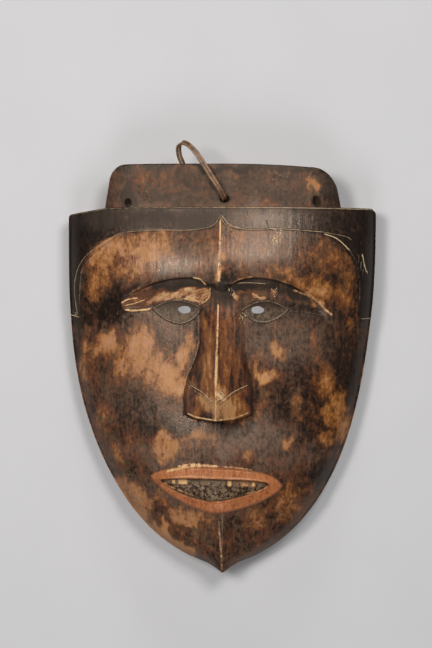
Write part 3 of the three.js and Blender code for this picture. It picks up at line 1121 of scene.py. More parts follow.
CUTS = lines_of(
    # The hair line, from its peak to the left and down the side, and to the right
    (0.4, 0.15, 0.62, (-1, 118), (-8, 109), (-25, 106), (-48, 106), (-72, 105), (-83, 102), (-96, 95),
     (-107, 86), (-113, 75), (-115, 61), (-113, 42)),
    (0.4, 0.15, 0.74, (-1, 118), (4, 111), (13, 107.5), (22, 106.4), (44, 107), (76, 105)),
    (0.6, 0.3, 1.0, (78, 103.5), (88, 99.8), (98, 91)),
    (0.35, 0.1, 0.4, (98, 91), (103, 82), (106, 66), (106, 53)),
    (0.5, 0.2, 1.0, (108, 88), (110, 79), (112, 74.5)),
    (0.5, 0.2, 0.9, (-119, 42), (-112, 40)),
    (0.4, 0.2, 0.8, (108, 38.5), (115, 39)),
    # The nose's tip
    (0.36, 0.3, 0.9, (-24, -11.6), (-15.6, -16.4), (-8.4, -23)),
    (0.36, 0.3, 1.0, (18.4, -11.6), (8, -16.2), (-0.8, -22.6)),
    # The right brow
    (0.4, 0.2, 0.75, (12, 65.6), (20, 65.9), (32.5, 65.2)),
    (0.35, 0.1, 0.4, (52, 44.6), (62, 43.8), (72, 42.2)),
    # The flange
    (0.3, 0.1, 0.5, (34, 152), (41, 142), (48, 137)),
    (0.3, 0.1, 0.55, (38, 153), (43, 149), (50, 147)),
    (0.3, 0.1, 0.5, (-62, 142), (-57, 134), (-55, 129)),
    (0.3, 0.1, 0.4, (-66, 138), (-60, 131)),
)
TWIN_CUTS = lines_of(
    # The second lines beside the hair line and at the nose's tip
    (0.35, 0.1, 0.5, (-75, 104), (-90, 95), (-102, 85.5), (-109, 75), (-111, 53)),
    (0.35, 0.1, 0.6, (-1, 114), (3, 109.5), (12, 107)),
    (0.35, 0.1, 0.7, (34, 112), (36.5, 107.5), (42, 106)),
    (0.4, 0.1, 0.6, (76, 105), (94, 102), (99, 99.5)),
    # The top edge of the face
    (0.4, 0.0, 0.55, (-119, 123.2), (-60, 123.2), (-8, 123.2)),
    (0.45, 0.0, 0.7, (-8, 123.2), (20, 123.2), (60, 123.2), (118, 123.2)),
    (0.28, 0.2, 0.6, (-21.5, -15.4), (-14.4, -20), (-8, -26)),
    (0.28, 0.2, 0.5, (16.4, -15.2), (7.4, -19.4), (-1, -25.4)),
)
# Pale lines of worn wood on the ridges and edges, which in places are painted highlights.
RIDGES = lines_of(
    # The forehead's and the nose's ridges, and the chin's keel
    (0.5, -0.3, 0.9, (-1.8, 114), (-2.0, 101)),
    (0.7, -0.35, 0.66, (-2.0, 101), (-2.3, 92), (-2.6, 80)),
    (1.1, -0.35, 0.8, (-2.6, 80), (-2.8, 74), (-3.0, 67)),
    (0.5, -0.3, 0.95, (-3.4, 48.5), (-3.7, 38)),
    (0.6, -0.35, 0.8, (-3.7, 38), (-4.4, 13)),
    (0.95, -0.35, 0.95, (-4.4, 13), (-5.3, -11)),
    (0.5, -0.3, 0.7, (-5.3, -11), (-5.4, -24)),
    (0.5, -0.25, 0.75, (-5.4, -24), (-5.4, -36.5)),
    (0.5, -0.3, 0.35, (-3.6, -116), (-2.8, -124)),
    (0.6, -0.35, 0.55, (-2.8, -124), (-1.2, -142), (-0.4, -156)),
    # Painted highlights on the nose's tip
    (0.9, -0.2, 0.85, (-4.2, -17.4), (-1.2, -20), (1.6, -22.2)),
    (0.6, -0.1, 0.7, (-4.6, -20), (-2.6, -22.6)),
    # The nose's lower edge, a painted highlight
    (0.5, 0.0, 0.85, (-26, -33), (-19, -35.4), (-5, -37.2)),
    (0.45, 0.0, 0.7, (-5, -37.2), (9, -35.6), (19, -32.4)),
    # The brows' edges
    (0.5, -0.2, 0.95, (-21.6, 69.4), (-17, 68.2), (-13.2, 64.8)),
    (0.4, -0.1, 0.7, (-9.6, 61.5), (-9.9, 56), (-13, 52), (-17.2, 49.6)),
    (0.5, -0.1, 0.5, (7.4, 65), (12, 68), (22, 70.2)),
    (0.7, -0.3, 0.66, (54, 60.4), (62, 57.6), (68, 54.8), (73, 51), (79, 45.4), (83.5, 41.8)),
    (0.7, -0.3, 0.9, (-74, 45.4), (-68, 44.8), (-56, 45.8)),
    (0.5, -0.2, 0.85, (-77, 51), (-72, 53.4), (-66, 54.4)),
    (0.35, -0.2, 0.7, (-75, 48.6), (-68, 50.2), (-60, 52.8)),
    (0.45, -0.2, 0.75, (-38, 52.6), (-28, 53.6), (-16, 51.4)),
    # The upper lip's edge
    (0.8, -0.3, 0.8, (-42, -77.6), (-31, -74.6), (-22, -73.5), (-12, -73.2), (-4, -73.4)),
    (0.5, -0.2, 0.66, (-34, -74), (-26, -72.1), (-18, -71.8), (-10, -72.2)),
    (0.5, -0.2, 0.5, (-4, -73.4), (8, -74.2), (22, -76.4)),
    # The rim inside the lower lip
    (0.4, -0.2, 0.56, (-44.5, -86.8), (-40.7, -89), (-35.7, -91.3), (-24.9, -95.1), (-18.6, -97.6)),
    (0.4, -0.2, 0.56, (34, -88.4), (31.4, -90.8), (25.4, -92.9), (17, -94.8)),
)


@dataclass(frozen=True)
class Wear:
    """Where the patina is dark, dull or worn through, where shade and sheen are painted, and how ragged the
    outlines of that are.

    The moves are the smooth noise that carries each place across and along before spots are read.
    """

    outline: Outline = Outline()
    moves_across: tuple[Ripple, ...] = (
        Ripple(61, 5.0, 15, 22), Ripple(62, 2.6, 5, 8), Ripple(63, 1.2, 2.2, 5),
    )
    moves_along: tuple[Ripple, ...] = (
        Ripple(64, 7.0, 15, 22), Ripple(65, 4.0, 5, 8), Ripple(66, 2.4, 2.2, 5),
    )
    middle: Point = (-2.0, 20.0)
    left_half: float = 111.0
    right_half: float = 107.0
    high_half: float = 86.0
    corner_power: float = 5.0
    peak: float = 10.0
    peak_reach: float = 5.0
    band_edge: Point = (0.94, 1.07)
    band_rows: Point = (25.0, 45.0)
    band_cover: float = 0.72
    ground: float = 0.37

    def spots(self, mark: Mark, x: Array, y: Array, ragged: float = 1.0) -> Array:
        """The strongest spot of one kind at each place, after that share of the moves is added to it."""
        place = x + ragged * swings(self.moves_across, x, y), y + ragged * swings(self.moves_along, x, y)
        return np.max([spot.over(*place) for spot in SPOTS if spot.mark is mark], axis=0)

    def band(self, x: Array, y: Array) -> Array:
        """The dark band round the face, outside an oval.

        Args:
            x, y: The places.

        Returns:
            From 0 to 1 as the powers of the distances across and along, in half sizes, pass a sum of 1.
            The oval has a narrow peak in the middle of its top, by a bell curve.
        """
        half = np.where(x < self.middle[0], self.left_half, self.right_half)
        across = np.abs(x - self.middle[0]) / half
        rise = y - self.peak * bell(x / self.peak_reach) - self.middle[1]
        along = np.maximum(rise, 0.0) / self.high_half
        outside = across**self.corner_power + along**self.corner_power
        return ramp(*self.band_edge, outside) * ramp(*self.band_rows, y)

    def bareness(self, x: Array, y: Array) -> Array:
        """How worn the wood is.

        Args:
            x, y: The places.

        Returns:
            The greatest of the patches and the dull ground, less the most of that in the dark band.
        """
        ground = np.max([spot.over(x, y) for spot in GROUND_SPOTS], axis=0)
        worn = np.maximum(self.spots(Mark.WORN, x, y), np.maximum(ground, self.ground))
        return worn * (1 - self.band_cover * self.band(x, y) * (y < self.outline.face_end))


WEAR = Wear()


@dataclass(frozen=True)
class Relief:
    """The fine carving and the wear that lie over the broad solid."""

    carving: Carving = Carving()
    waves: tuple[Ripple, ...] = (Ripple(3, 0.2, 21, 33), Ripple(4, 0.12, 8, 17))
    furrows: tuple[Ripple, ...] = (Ripple(5, 0.06, 1.7, 15), Ripple(10, 0.05, 3.1, 31))
    chops: tuple[Ripple, ...] = (Ripple(11, 0.35, 8, 3.4), Ripple(12, 0.14, 2.6, 1.3))
    fibres: tuple[Ripple, ...] = (Ripple(7, 0.4, 9, 1.5), Ripple(8, 0.25, 3.5, 0.9))
    ragged_top: Ripple = Ripple(14, 0.1, 4.5, 9)
    rubble: Ripple = Ripple(13, 0.25, 2.6, 1.9)
    dent_depth: float = 0.05
    slants: Point = (-0.26, 0.3)
    lid_reach: float = 2.4
    lid_bead: float = 0.35
    brow_floor: float = 45.5
    split_at: tuple[float, ...] = (-62, -50, -40, -32, -25, -12)
    split_top: tuple[float, ...] = (0.98, 0.86, 0.42, 0.46, 0.64, 0.86)
    split_top_right: float = 0.6
    lip_tilt: float = 1.1
    rim_bead: float = 0.4

    def lids(self, x: Array, y: Array) -> tuple[Array, Array]:
        """The lids and what is between them.

        Args:
            x, y: The places.

        Returns:
            How near each place is to a lid's line, from 1 on it to 0 at the reach, and how far it is
            inside the almond, from 0 on the line to 1 at a millimetre.
        """

        def near(eye: Eye) -> Array:
            """One eye's: it falls with the gap up or down, and past the corners with the distance."""
            away = np.abs(x)
            high, low = eye.lids(away)
            gap = np.minimum(np.abs(y - high), np.abs(y - low))
            past = np.maximum(eye.inner - away, away - eye.outer)
            return part(self.lid_reach, 0, np.hypot(gap, np.maximum(past, 0.0)))

        def within(eye: Eye) -> Array:
            """How far inside one eye's lids it is."""
            high, low = eye.lids(np.abs(x))
            return part(0.0, 1.0, np.minimum(high - y, y - low))

        return both(x, *map(near, self.carving.eyes)), both(x, *map(within, self.carving.eyes))

    def eye_share(self, x: Array, y: Array) -> Array:
        """How far each place is from the lower lid up to the upper one."""
        shares = [part(*eye.lids(np.abs(x))[::-1], y) for eye in self.carving.eyes]
        return both(x, *shares)

    def under_brow(self, x: Array, y: Array) -> Array:
        """Where the brow's hollow is.

        Args:
            x, y: The places.

        Returns:
            0 at the lid and 1 at the brow's edge, and below 0 outside the hollow.
        """

        def share(brow: Brow, eye: Eye) -> Array:
            """One brow's share of the way up, from the lid or the floor to the brow's edge."""
            away = np.abs(x)
            high = brow.line(away)
            low = np.maximum(self.brow_floor, eye.lids(away)[0])
            inside = (away > brow.inner - 1) & (away < brow.end) & (y > low) & (y < high)
            return np.where(inside, part(low, high, y), -1.0)

        return both(x, *map(share, self.carving.brows, self.carving.eyes))

    def split_wood(self, x: Array, y: Array) -> Array:
        """Where the hollows of the brows show bare split wood.

        Args:
            x, y: The places.

        Returns:
            Its spots, 1.4 times as strong up to 1, from the lid up to a ragged top.
        """
        t = self.under_brow(x, y)
        top = np.where(x < 0, np.interp(x, self.split_at, self.split_top), self.split_top_right)
        top = top + self.ragged_top.at(x, y)
        bare = np.minimum(1.4 * WEAR.spots(Mark.SPLIT, x, y, 0.5), 1.0)
        return bare * ramp(-0.02, 0.06, t) * ramp(top + 0.06, top - 0.06, t)

    def height(self, x: Array, y: Array) -> Array:
        """What is added to the face's height, in millimetres.

        Args:
            x, y: The places.

        Returns:
            Slow waves and the scraper's furrows, less a few dents, with the lines, chisel cuts and
            fibres in the brows, a bead along the lids, and lips that rise to the mouth.
        """
        surface = swings(self.waves, x, y) + swings(self.furrows, x, y)
        surface = surface - self.dent_depth * ramp(0.86, 0.97, Grain(6).at(x / 2.2, y / 2.9))
        slant = y + both(x, *self.slants) * x
        surface = surface + ramp(0.0, 0.1, self.under_brow(x, y)) * swings(self.chops, x, slant)
        surface = surface + self.split_wood(x, y) * swings(self.fibres, x, slant)
        surface = surface + self.lid_bead * ramp(0.7, 1.0, self.lids(x, y)[0])
        outer, inner = self.carving.lips.inside(x, y), self.carving.opening.inside(x, y)
        across = outer / np.maximum(outer - inner, 0.5)
        surface = surface + part(0, 1.4, outer) * part(0, -0.6, inner) * self.lip_tilt * (across - 0.5)
        surface = surface + self.rim_bead * bell((inner + 0.8) / 0.7)
        surface = surface + part(0, 1.5, inner) * self.rubble.at(x, y)
        return surface + sum(lines.over(x, y)[2] for lines in (CUTS, TWIN_CUTS, RIDGES))


@dataclass(frozen=True)
class Hole:
    """A hole through the wood: its middle, its width and height, and how far it leans for each step up."""

    x: float
    y: float
    width: float
    height: float
    slant: Point = (0.0, 0.0)


@dataclass
class MaskBody:
    """The carving: a shell with a hollow back, and the flange behind its top edge."""

    carving: Carving = Carving()
    relief: Relief = Relief()
    highest: float = 88.8
    top_corners: Point = (1.2, 3.6)
    bevel: float = 1.0
    side_draft: float = 2.5
    foot_bevel: float = 0.6
    foot_half: float = 0.4
    gouge_wide: float = 11.0
    gouge_long: float = 34.0
    gouge_ridges: Point = (0.55, 0.25)
    gouge_drift: Ripple = Ripple(21, 0.25, 30, 40)
    gouge_waves: Ripple = Ripple(22, 0.2, 9, 14)
    flange_left: float = -91.5
    flange_right: float = 92.5
    flange_root: float = 121.5
    flange_top: float = 157.7
    flange_sag: float = 2.3
    flange_sag_end: float = 67.0
    flange_thick: float = 9.0
    flange_back: float = 1.0
    flange_waves: tuple[Ripple, ...] = (Ripple(31, 0.25, 17, 13), Ripple(32, 0.06, 1.5, 11))
    front_inset: float = 1.2
    back_inset: float = 0.8
    edge_steps: tuple[Point, ...] = ((0.6, 0.25), (0.15, 0.8), (0.0, 1.6), (0.0, 8.2), (0.3, 8.8))
    taper: Point = (6.0, 7.0)
    corners: Point = (10.0, 16.0)
    corner_height: float = 30.0
    lashing_holes: tuple[Hole, ...] = (
        Hole(-72.8, 127.9, 6.2, 7.0, (-0.62, -0.2)),
        Hole(1.5, 130.4, 8.0, 5.6),
        Hole(71.9, 129.6, 6.2, 7.0, (0.45, 0.45)),
    )
    lashing_levels: Point = (5.0, 60.0)
    eye_hole: Point = (8.6, 4.9)
    eye_flare: float = 1.7
    eye_levels: Point = (20.0, 62.0)
    hole_points: int = 40
    sharp_degrees: float = 52.0
    face_reach: float = 3.0
    nose_reach: float = 2.5
    nose_share: Point = (0.5, 3.0)
    rim_sides: Point = (3.0, 6.0)
    rim_chin: Point = (-147.0, -150.0)
    rim_top: Point = (122.5, 123.5)

    def rows(self) -> Array:
        """Rows of the face's grid, closer together at the mouth, the nose's tip, the eyes and the brows."""
        chin, top = self.carving.outline.chin, self.carving.outline.top
        return stations(
            (chin + self.bevel * 0.5, -140, 10), (-140, -112, 20), (-112, -100, 16), (-100, -76, 44),
            (-76, -66, 10), (-66, -42, 16), (-42, -32, 16), (-32, -8, 26), (-8, 34, 28), (34, 58, 44),
            (58, 74, 24), (74, 100, 17), (100, 110, 12), (110, top - 5, 6), (top - 5, top - self.bevel, 6),
        )

    @staticmethod
    def columns() -> Array:
        """Columns of the face's grid, as shares of half its width, closer together at the features."""
        return stations(
            (-1, -0.8, 12), (-0.8, -0.5, 28), (-0.5, -0.02, 72), (-0.02, 0.02, 4),
            (0.02, 0.5, 72), (0.5, 0.8, 28), (0.8, 1, 12),
        )

    def edge(self, s: Array, row: Array, out: float) -> tuple[Array, Array]:
        """Places on the face, with its outline moved out.

        Args:
            s: Shares of half its width.
            row: The rows' own places along.
            out: How far the outline moves, at most 0.4 of the half width.

        Returns:
            Where they are across and along. The top corners draw in by their size less that times the
            root of 1 less the square of the share of the way up them.
        """
        outline = self.carving.outline
        half = outline.half_width(row)
        move = np.sign(out) * np.minimum(abs(out), 0.4 * half)
        bent = row + self.carving.bend(outline.middle(row) + half * s, row)
        corner = both(s, *self.top_corners)
        top = outline.top - self.bevel
        move = move - corner * (1 - np.sqrt(1 - part(top - corner, top, row) ** 2))
        return outline.middle(bent) + (outline.half_width(bent) + move) * s, bent

    def shell(self) -> Shape:
        """The face's grid, the hollow's grid and the wall between their edges.

        Returns:
            The closed shape. The wall starts with a quarter round of the bevel's radius: sine out and
            1 less cosine down. It then leans in to the foot.
        """
        shape = Shape()
        outline, carving = self.carving.outline, self.carving
        s, rows = self.columns(), self.rows()
        x, y = self.edge(s[None, :], rows[:, None], -self.bevel)
        z = np.minimum(carving.front(x, y) + self.relief.height(x, y), self.highest)
        face = shape.add_points(np.stack([x, y - outline.drop(x, rows[:, None]), z], axis=-1))
        shape.add_grid(face)

        numbers, places = loop_of(face, s, rows)
        column = np.tile(s, (len(rows), 1)).ravel()[numbers]
        row = np.repeat(rows, len(s))[numbers]
        top_edge, chin_edge = row > rows[-1] - 1e-6, row < rows[0] + 1e-6
        edge_z = z.ravel()[numbers]
        top_x = outline.middle(row) + outline.half_width(row) * column
        foot_z = np.where(top_edge, carving.hollow(top_x, np.full(row.shape, outline.top)), 0.0)
        rings = [numbers]
        turns = np.radians([30, 60, 90])
        steps = [(self.bevel * (np.sin(a) - 1), self.bevel * (1 - np.cos(a)), 0.0) for a in turns]
        steps += [(-self.side_draft * t, self.bevel, t) for t in (0.3, 0.6, 0.92)]
        for out, down, share in steps:
            rim_x, rim_y = self.edge(column, row, out)
            lift = np.where(top_edge, self.bevel + min(out, 0.0) * (share == 0), 0.0)
            lift = np.where(chin_edge, -0.5 * self.bevel - 0.5 * min(out, 0.0) * (share == 0), lift)
            ring_y = rim_y + lift - outline.drop(rim_x, row)
            ring = np.stack([rim_x, ring_y, mix(edge_z - down, foot_z, share)], axis=-1)
            ring_numbers = shape.add_points(ring[:-1])
            rings.append(np.append(ring_numbers, ring_numbers[0]))
        shape.add_grid(np.array(rings)[::-1])
        self.add_back(shape, rings[-1], places)
        return shape

    def add_back(self, shape: Shape, edge: Array, places: Array) -> None:
        """Adds the hollow back and the flat rim round it.

        Args:
            shape: The shape with the face and the wall, which a row of triangles joins to the rim.
            edge: The point numbers of the wall's lower edge, whose last is its first again.
            places: The place of each along that edge.
        """
        outline, carving = self.carving.outline, self.carving
        turn = np.linspace(-90, 90, 73)
        columns = np.concatenate([[-1.2, -1.1], np.sin(np.radians(turn)), [1.1, 1.2]])
        rows = stations(
            (outline.chin, -143, 6), (-143, -138, 8), (-138, -110, 14), (-110, 110, 56),
            (110, outline.top, 6),
        )
        u, v = np.meshgrid(columns, rows)
        outer = outline.half_width(v) - self.side_draft - self.foot_bevel * 0.5
        outer = np.maximum(outer, self.foot_half)
        inner = np.maximum(carving.inner_half(v), 0.3 * outer)
        reach = np.where(np.abs(u) > 1, mix(inner, outer, (np.abs(u) - 1) / 0.2), inner * np.abs(u))
        x = outline.middle(v) + np.sign(u) * reach
        hollow = carving.hollow(x, v)
        z = hollow + self.gouges(x, v) * ramp(2, 12, hollow)
        back = shape.add_points(np.stack([x, v - outline.drop(x, v), z], axis=-1))
        shape.add_grid(back, turned=True)
        shape.add_zipper(edge, places, *loop_of(back, columns, rows))

    def gouges(self, x: Array, y: Array) -> Array:
        """Tool marks in the hollow.

        Args:
            x, y: The places.

        Returns:
            Long troughs side by side, less deep by the square of the way out to their ridges and the
            fourth power of the way to their ends, with smooth waves.
        """
        column = x / self.gouge_wide + self.gouge_drift.at(x, y)
        step = y / self.gouge_long + 0.5 * np.mod(np.floor(column), 2)
        across, along = (2 * np.abs(np.mod(share, 1) - 0.5) for share in (column, step))
        side, end = self.gouge_ridges
        return -side * across**2 - end * along**4 + self.gouge_waves.at(x, y)

    def flange(self) -> Shape:
        """The flange.

        Returns:
            A closed slab that follows the arch of the hollow, with round corners and edges.
        """
        shape = Shape()
        columns, rows = stations((0, 1, 96)), stations((0, 0.06, 3), (0.06, 0.6, 16), (0.6, 1, 20))
        u, v = np.meshgrid(columns, rows)

        def corner(size: float) -> Array:
            """How far a corner draws in: its size less that times the root of 1 - the share squared."""
            round_part = part(1 - size / self.corner_height, 1, v)
            return size * (1 - np.sqrt(1 - round_part**2))

        def layer(inset: float, lift: float, grain: float) -> Array:
            """Points of the slab.

            Args:
                inset: How far they are inside its outline.
                lift: How far they are over its back.
                grain: How much of the waves they have.

            Returns:
                A grid of places. The top edge sinks by the square of the way to the right.
            """
            left = self.flange_left + self.taper[0] * v + corner(self.corners[0]) + inset
            right = self.flange_right - self.taper[1] * v - corner(self.corners[1]) - inset
            x = mix(left, right, u)
            top = self.flange_top - inset - self.flange_sag * part(0, self.flange_sag_end, x) ** 2
            y = mix(self.flange_root, top, v)
            arch = self.carving.hollow(x, np.full(x.shape, self.carving.outline.top))
            z = arch + self.flange_back + lift + grain * swings(self.flange_waves, x, y)
            return np.stack([x, y, z], axis=-1)

        front = shape.add_points(layer(self.front_inset, self.flange_thick, 1.0))
        back = shape.add_points(layer(self.back_inset, 0.0, 0.0))
        shape.add_grid(front)
        shape.add_grid(back, turned=True)
        first, _ = loop_of(front, columns, rows)
        last, _ = loop_of(back, columns, rows)
        rings = [first]
        for inset, down in self.edge_steps:
            grid = layer(inset, self.flange_thick - down, 0.0).reshape(-1, 3)
            ring = shape.add_points(grid[first[:-1]])
            rings.append(np.append(ring, ring[0]))
        shape.add_grid(np.array(rings + [last])[::-1])
        return shape

    def mouth_of(self, hole: Hole) -> Array:
        """The height of the flange's front at a lashing hole."""
        arch = self.carving.hollow(np.float64(hole.x), np.float64(self.carving.outline.top))
        return arch + self.flange_back + self.flange_thick

    def bored(self, x: Array, y: Array, z: Array) -> Array:
        """The walls of the lashing holes.

        Args:
            x, y: The places.
            z: Their heights.

        Returns:
            1 on a hole's wall, falling to 0 a little outside it, by the distance in its sizes.
        """
        near = []
        for hole in self.lashing_holes:
            depth = z - self.mouth_of(hole)
            across = (x - hole.x - hole.slant[0] * depth) / hole.width
            near.append(np.hypot(across, (y - hole.y - hole.slant[1] * depth) / hole.height))
        return part(0.72, 0.56, np.min(near, axis=0))

    def cutters(self) -> Shape:
        """The cutters of the holes.

        Returns:
            One oval tube for each lashing hole, which may slant, and one along Z for each eye, wider at
            its lower end. Their outlines are a little ragged.
        """
        shape = Shape()
        turn = np.arange(self.hole_points) / self.hole_points * 2 * np.pi
        holes = [(hole, 1.0, self.lashing_levels, self.mouth_of(hole)) for hole in self.lashing_holes]
        for eye in self.carving.eyes:
            holes.append((Hole(*eye.hole, *self.eye_hole), self.eye_flare, self.eye_levels, 0.0))
        for index, (hole, flare, levels, mouth) in enumerate(holes):
            ragged = 1 + Ripple(40 + index, 0.08, 5, 5).at(np.cos(turn) * 9, np.sin(turn) * 9)
            across = np.cos(turn) * hole.width / 2 * ragged
            along = np.sin(turn) * hole.height / 2 * ragged
            rings = []
            for spread, level in zip((flare, 1.0), levels):
                x = hole.x + hole.slant[0] * (level - mouth) + across * spread
                y = hole.y + hole.slant[1] * (level - mouth) + along * spread
                rings.append(np.column_stack([x, y, np.full(self.hole_points, level)]))
            shape.add_tube(np.array(rings))
        return shape

    def build(self) -> bpy.types.Object:
        """Makes the carving.

        Returns:
            The shell joined with the flange, less the holes.
        """
        piece = self.shell().make("carved_mask")
        flange, holes = self.flange().make("flange_tool"), self.cutters().make("hole_tool")
        tools = [(flange, "UNION"), (holes, "DIFFERENCE")]
        for tool, operation in tools:
            cut = piece.modifiers.new(operation.lower(), "BOOLEAN")
            cut.operation = operation
            cut.solver = "MANIFOLD"
            cut.object = tool
        graph = bpy.context.evaluated_depsgraph_get()
        finished = bpy.data.meshes.new_from_object(piece.evaluated_get(graph))
        piece.modifiers.clear()
        piece.data = finished
        for tool, _ in tools:
            bpy.data.objects.remove(tool)
        finished.shade_smooth()
        finished.set_sharp_from_angle(angle=np.radians(self.sharp_degrees))
        self.mark(finished)
        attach(piece, BODY)
        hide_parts("mask")
        return piece

    def mark(self, mesh: bpy.types.Mesh) -> None:
        """Writes the marks of wear, the painted shade and sheen, and the features to the mesh's attributes,
        from each point's place.

        Args:
            mesh: The finished carving.
        """
        outline, carving = self.carving.outline, self.carving
        places, normals = self.vectors(mesh, "co"), self.vectors(mesh, "normal")
        x, y, z = (places.astype(float) / MM).T
        up = normals[:, 2]
        y = y + outline.drop(x, y) * (y < outline.face_end)
        on_face = ramp(0.02, 0.25, up) * (y < outline.face_end)
        on_face = on_face * (z > carving.front(x, y) - self.face_reach)
        on_flange = (y > outline.face_end) * ramp(0.02, 0.25, up)
        above = carving.nose.over(x, y + self.nose_reach)
        under_nose = part(*self.nose_share, above) * (z > carving.broad(x, y) - 1.0)
        outside = np.maximum(np.maximum(on_face, on_flange), under_nose)
        beyond = np.abs(x - outline.middle(y)) - carving.inner_half(y)
        ends = np.maximum(part(*self.rim_chin, y), part(*self.rim_top, y))
        walls = np.maximum(part(*self.rim_sides, beyond), ends) * ramp(-0.5, -0.3, up)
        nose = np.maximum(carving.nose.over(x, y), above * under_nose)

        values = self.wear_marks(x, y, on_face) | self.feature_marks(x, y)
        values |= {"nose": part(*self.nose_share, nose), "steep": part(0.8, 0.3, up)}
        values = {name: value * outside for name, value in values.items()}
        values["worn"] += WEAR.ground * walls * (1 - outside)
        # Painted shade on the walls of the lashing holes.
        values["dark"] = np.maximum(values["dark"], 1.3 * self.bored(x, y, z))
        values |= {
            "bulge": self.bulge(mesh, places / MM, normals),
            "outside": np.maximum(outside, walls),
        }
        for name, value in values.items():
            layer = mesh.attributes.new(name, "FLOAT", "POINT")
            layer.data.foreach_set("value", np.ascontiguousarray(value, np.float32))

    def wear_marks(self, x: Array, y: Array, on_face: Array) -> dict[str, Array]:
        """The marks of wear, with painted shade and sheen among them.

        Args:
            x, y: The places.
            on_face: 1 on the face and 0 elsewhere.

        Returns:
            One value for each place, by the name of its attribute.
        """
        away = np.abs(x)
        band = WEAR.band(x, y) * on_face
        hollow = self.relief.under_brow(x, y)
        eyes = self.relief.lids(x, y)[1]
        marks = {mark.value: WEAR.spots(mark, x, y, 0.5) for mark in (Mark.FLECKED, Mark.GOLDEN, Mark.MATTE)}
        grey, dark = WEAR.spots(Mark.GREY, x, y), WEAR.spots(Mark.DARK, x, y, 0.7)
        # Painted shade in the upper part of each brow hollow, under the overhang.
        dark = np.maximum(dark, 1.2 * ramp(0.3, 0.75, hollow))
        matte = np.maximum(1.2 * ramp(0.2, 0.5, hollow), 0.4 * eyes)
        return marks | {
            "worn": WEAR.bareness(x, y),
            # Grey dust and painted sheen, with a thin veil of it over the band toward the middle.
            "grey": np.maximum(grey, 0.15 * band * part(112, 60, away)),
            "dark": np.maximum(dark, 0.5 * band * part(70, 105, away)),
            "matte": np.maximum(marks["matte"], matte),
            "split": self.relief.split_wood(x, y),
        }

    def feature_marks(self, x: Array, y: Array) -> dict[str, Array]:
        """The lines and the features of the face.

        Args:
            x, y: The places.

        Returns:
            One value for each place, by the name of its attribute.
        """
        carving = self.carving
        marks = {}
        for name, lines in (("cut", CUTS), ("twin", TWIN_CUTS), ("ridge", RIDGES)):
            marks[name], marks[f"{name}_pale"], _ = lines.over(x, y)
        opening = carving.opening.inside(x, y)
        lips = part(-0.4, 0.8, carving.lips.inside(x, y)) * part(0.3, -0.5, opening)
        tooth = np.searchsorted(carving.tooth_edges[1:-1], carving.opening.across(x))
        teeth = carving.teeth(x, y) / carving.tooth_rise * part(0.2, 1.0, opening)
        marks["lids"], marks["eyes"] = self.relief.lids(x, y)
        return marks | {
            "eye_top": self.relief.eye_share(x, y),
            "lips": lips,
            "upper_lip": lips * ramp(-1, 1, y - carving.opening.chord(x)),
            "mouth": part(0.0, 1.0, opening),
            "teeth": teeth * np.array(carving.tooth_pale)[tooth],
        }

    @staticmethod
    def vectors(mesh: bpy.types.Mesh, name: str) -> Array:
        """Reads one vector for each of a mesh's points.

        Args:
            mesh: The mesh.
            name: What is read of each point, such as its place.

        Returns:
            One row for each point.
        """
        values = np.empty(len(mesh.vertices) * 3, np.float32)
        mesh.vertices.foreach_get(name, values)
        return values.reshape(-1, 3)

    @staticmethod
    def bulge(mesh: bpy.types.Mesh, points: Array, normals: Array) -> Array:
        """How sharply each point stands out of its neighbours.

        Args:
            mesh: The mesh, for its edges.
            points: The points' places, in millimetres.
            normals: Their normals.

        Returns:
            A value per millimetre, below 0 in a crease. It is the sum of the unit vectors from the point
            to its neighbours, against its normal, over the sum of the distances to them. It is then
            averaged twice with its neighbours' values.
        """
        count = len(mesh.vertices)
        ends = np.empty(len(mesh.edges) * 2, np.int32)
        mesh.edges.foreach_get("vertices", ends)
        a, b = ends.reshape(-1, 2).T
        run = points[b] - points[a]
        length = np.maximum(np.linalg.norm(run, axis=1), 0.05)
        unit = run / length[:, None]
        pull = -np.einsum("ij,ij->i", unit, normals[a]), np.einsum("ij,ij->i", unit, normals[b])
        total = np.bincount(a, pull[0], count) + np.bincount(b, pull[1], count)
        reach = np.bincount(a, length, count) + np.bincount(b, length, count)
        value = total / np.maximum(reach, 1e-6)
        number = np.bincount(a, minlength=count) + np.bincount(b, minlength=count)
        for _ in range(2):
            near = np.bincount(a, value[b], count) + np.bincount(b, value[a], count)
            value = 0.5 * value + 0.5 * near / np.maximum(number, 1)
        return value


@dataclass(frozen=True)
class Marks:
    """The marks of wear, the painted shade, sheen and glints, and the features as a material reads them, one
    for each attribute.
    """

    worn: Value
    grey: Value
    dark: Value
    bulge: Value
    cut: Value
    twin: Value
    ridge: Value
    cut_pale: Value
    twin_pale: Value
    ridge_pale: Value
    lids: Value
    eyes: Value
    eye_top: Value
    split: Value
    lips: Value
    upper_lip: Value
    mouth: Value
    teeth: Value
    nose: Value
    flecked: Value
    golden: Value
    steep: Value
    matte: Value
    outside: Value


@dataclass(frozen=True)
class Noises:
    """The smooth noises of the wood, from fine grain to broad clouds, and its fibres."""

    fine: Value
    streaks: Value
    mottle: Value
    blotch: Value
    cloud: Value
    tint: Value
    specks: Value
    facets: Value
    fibres: Value


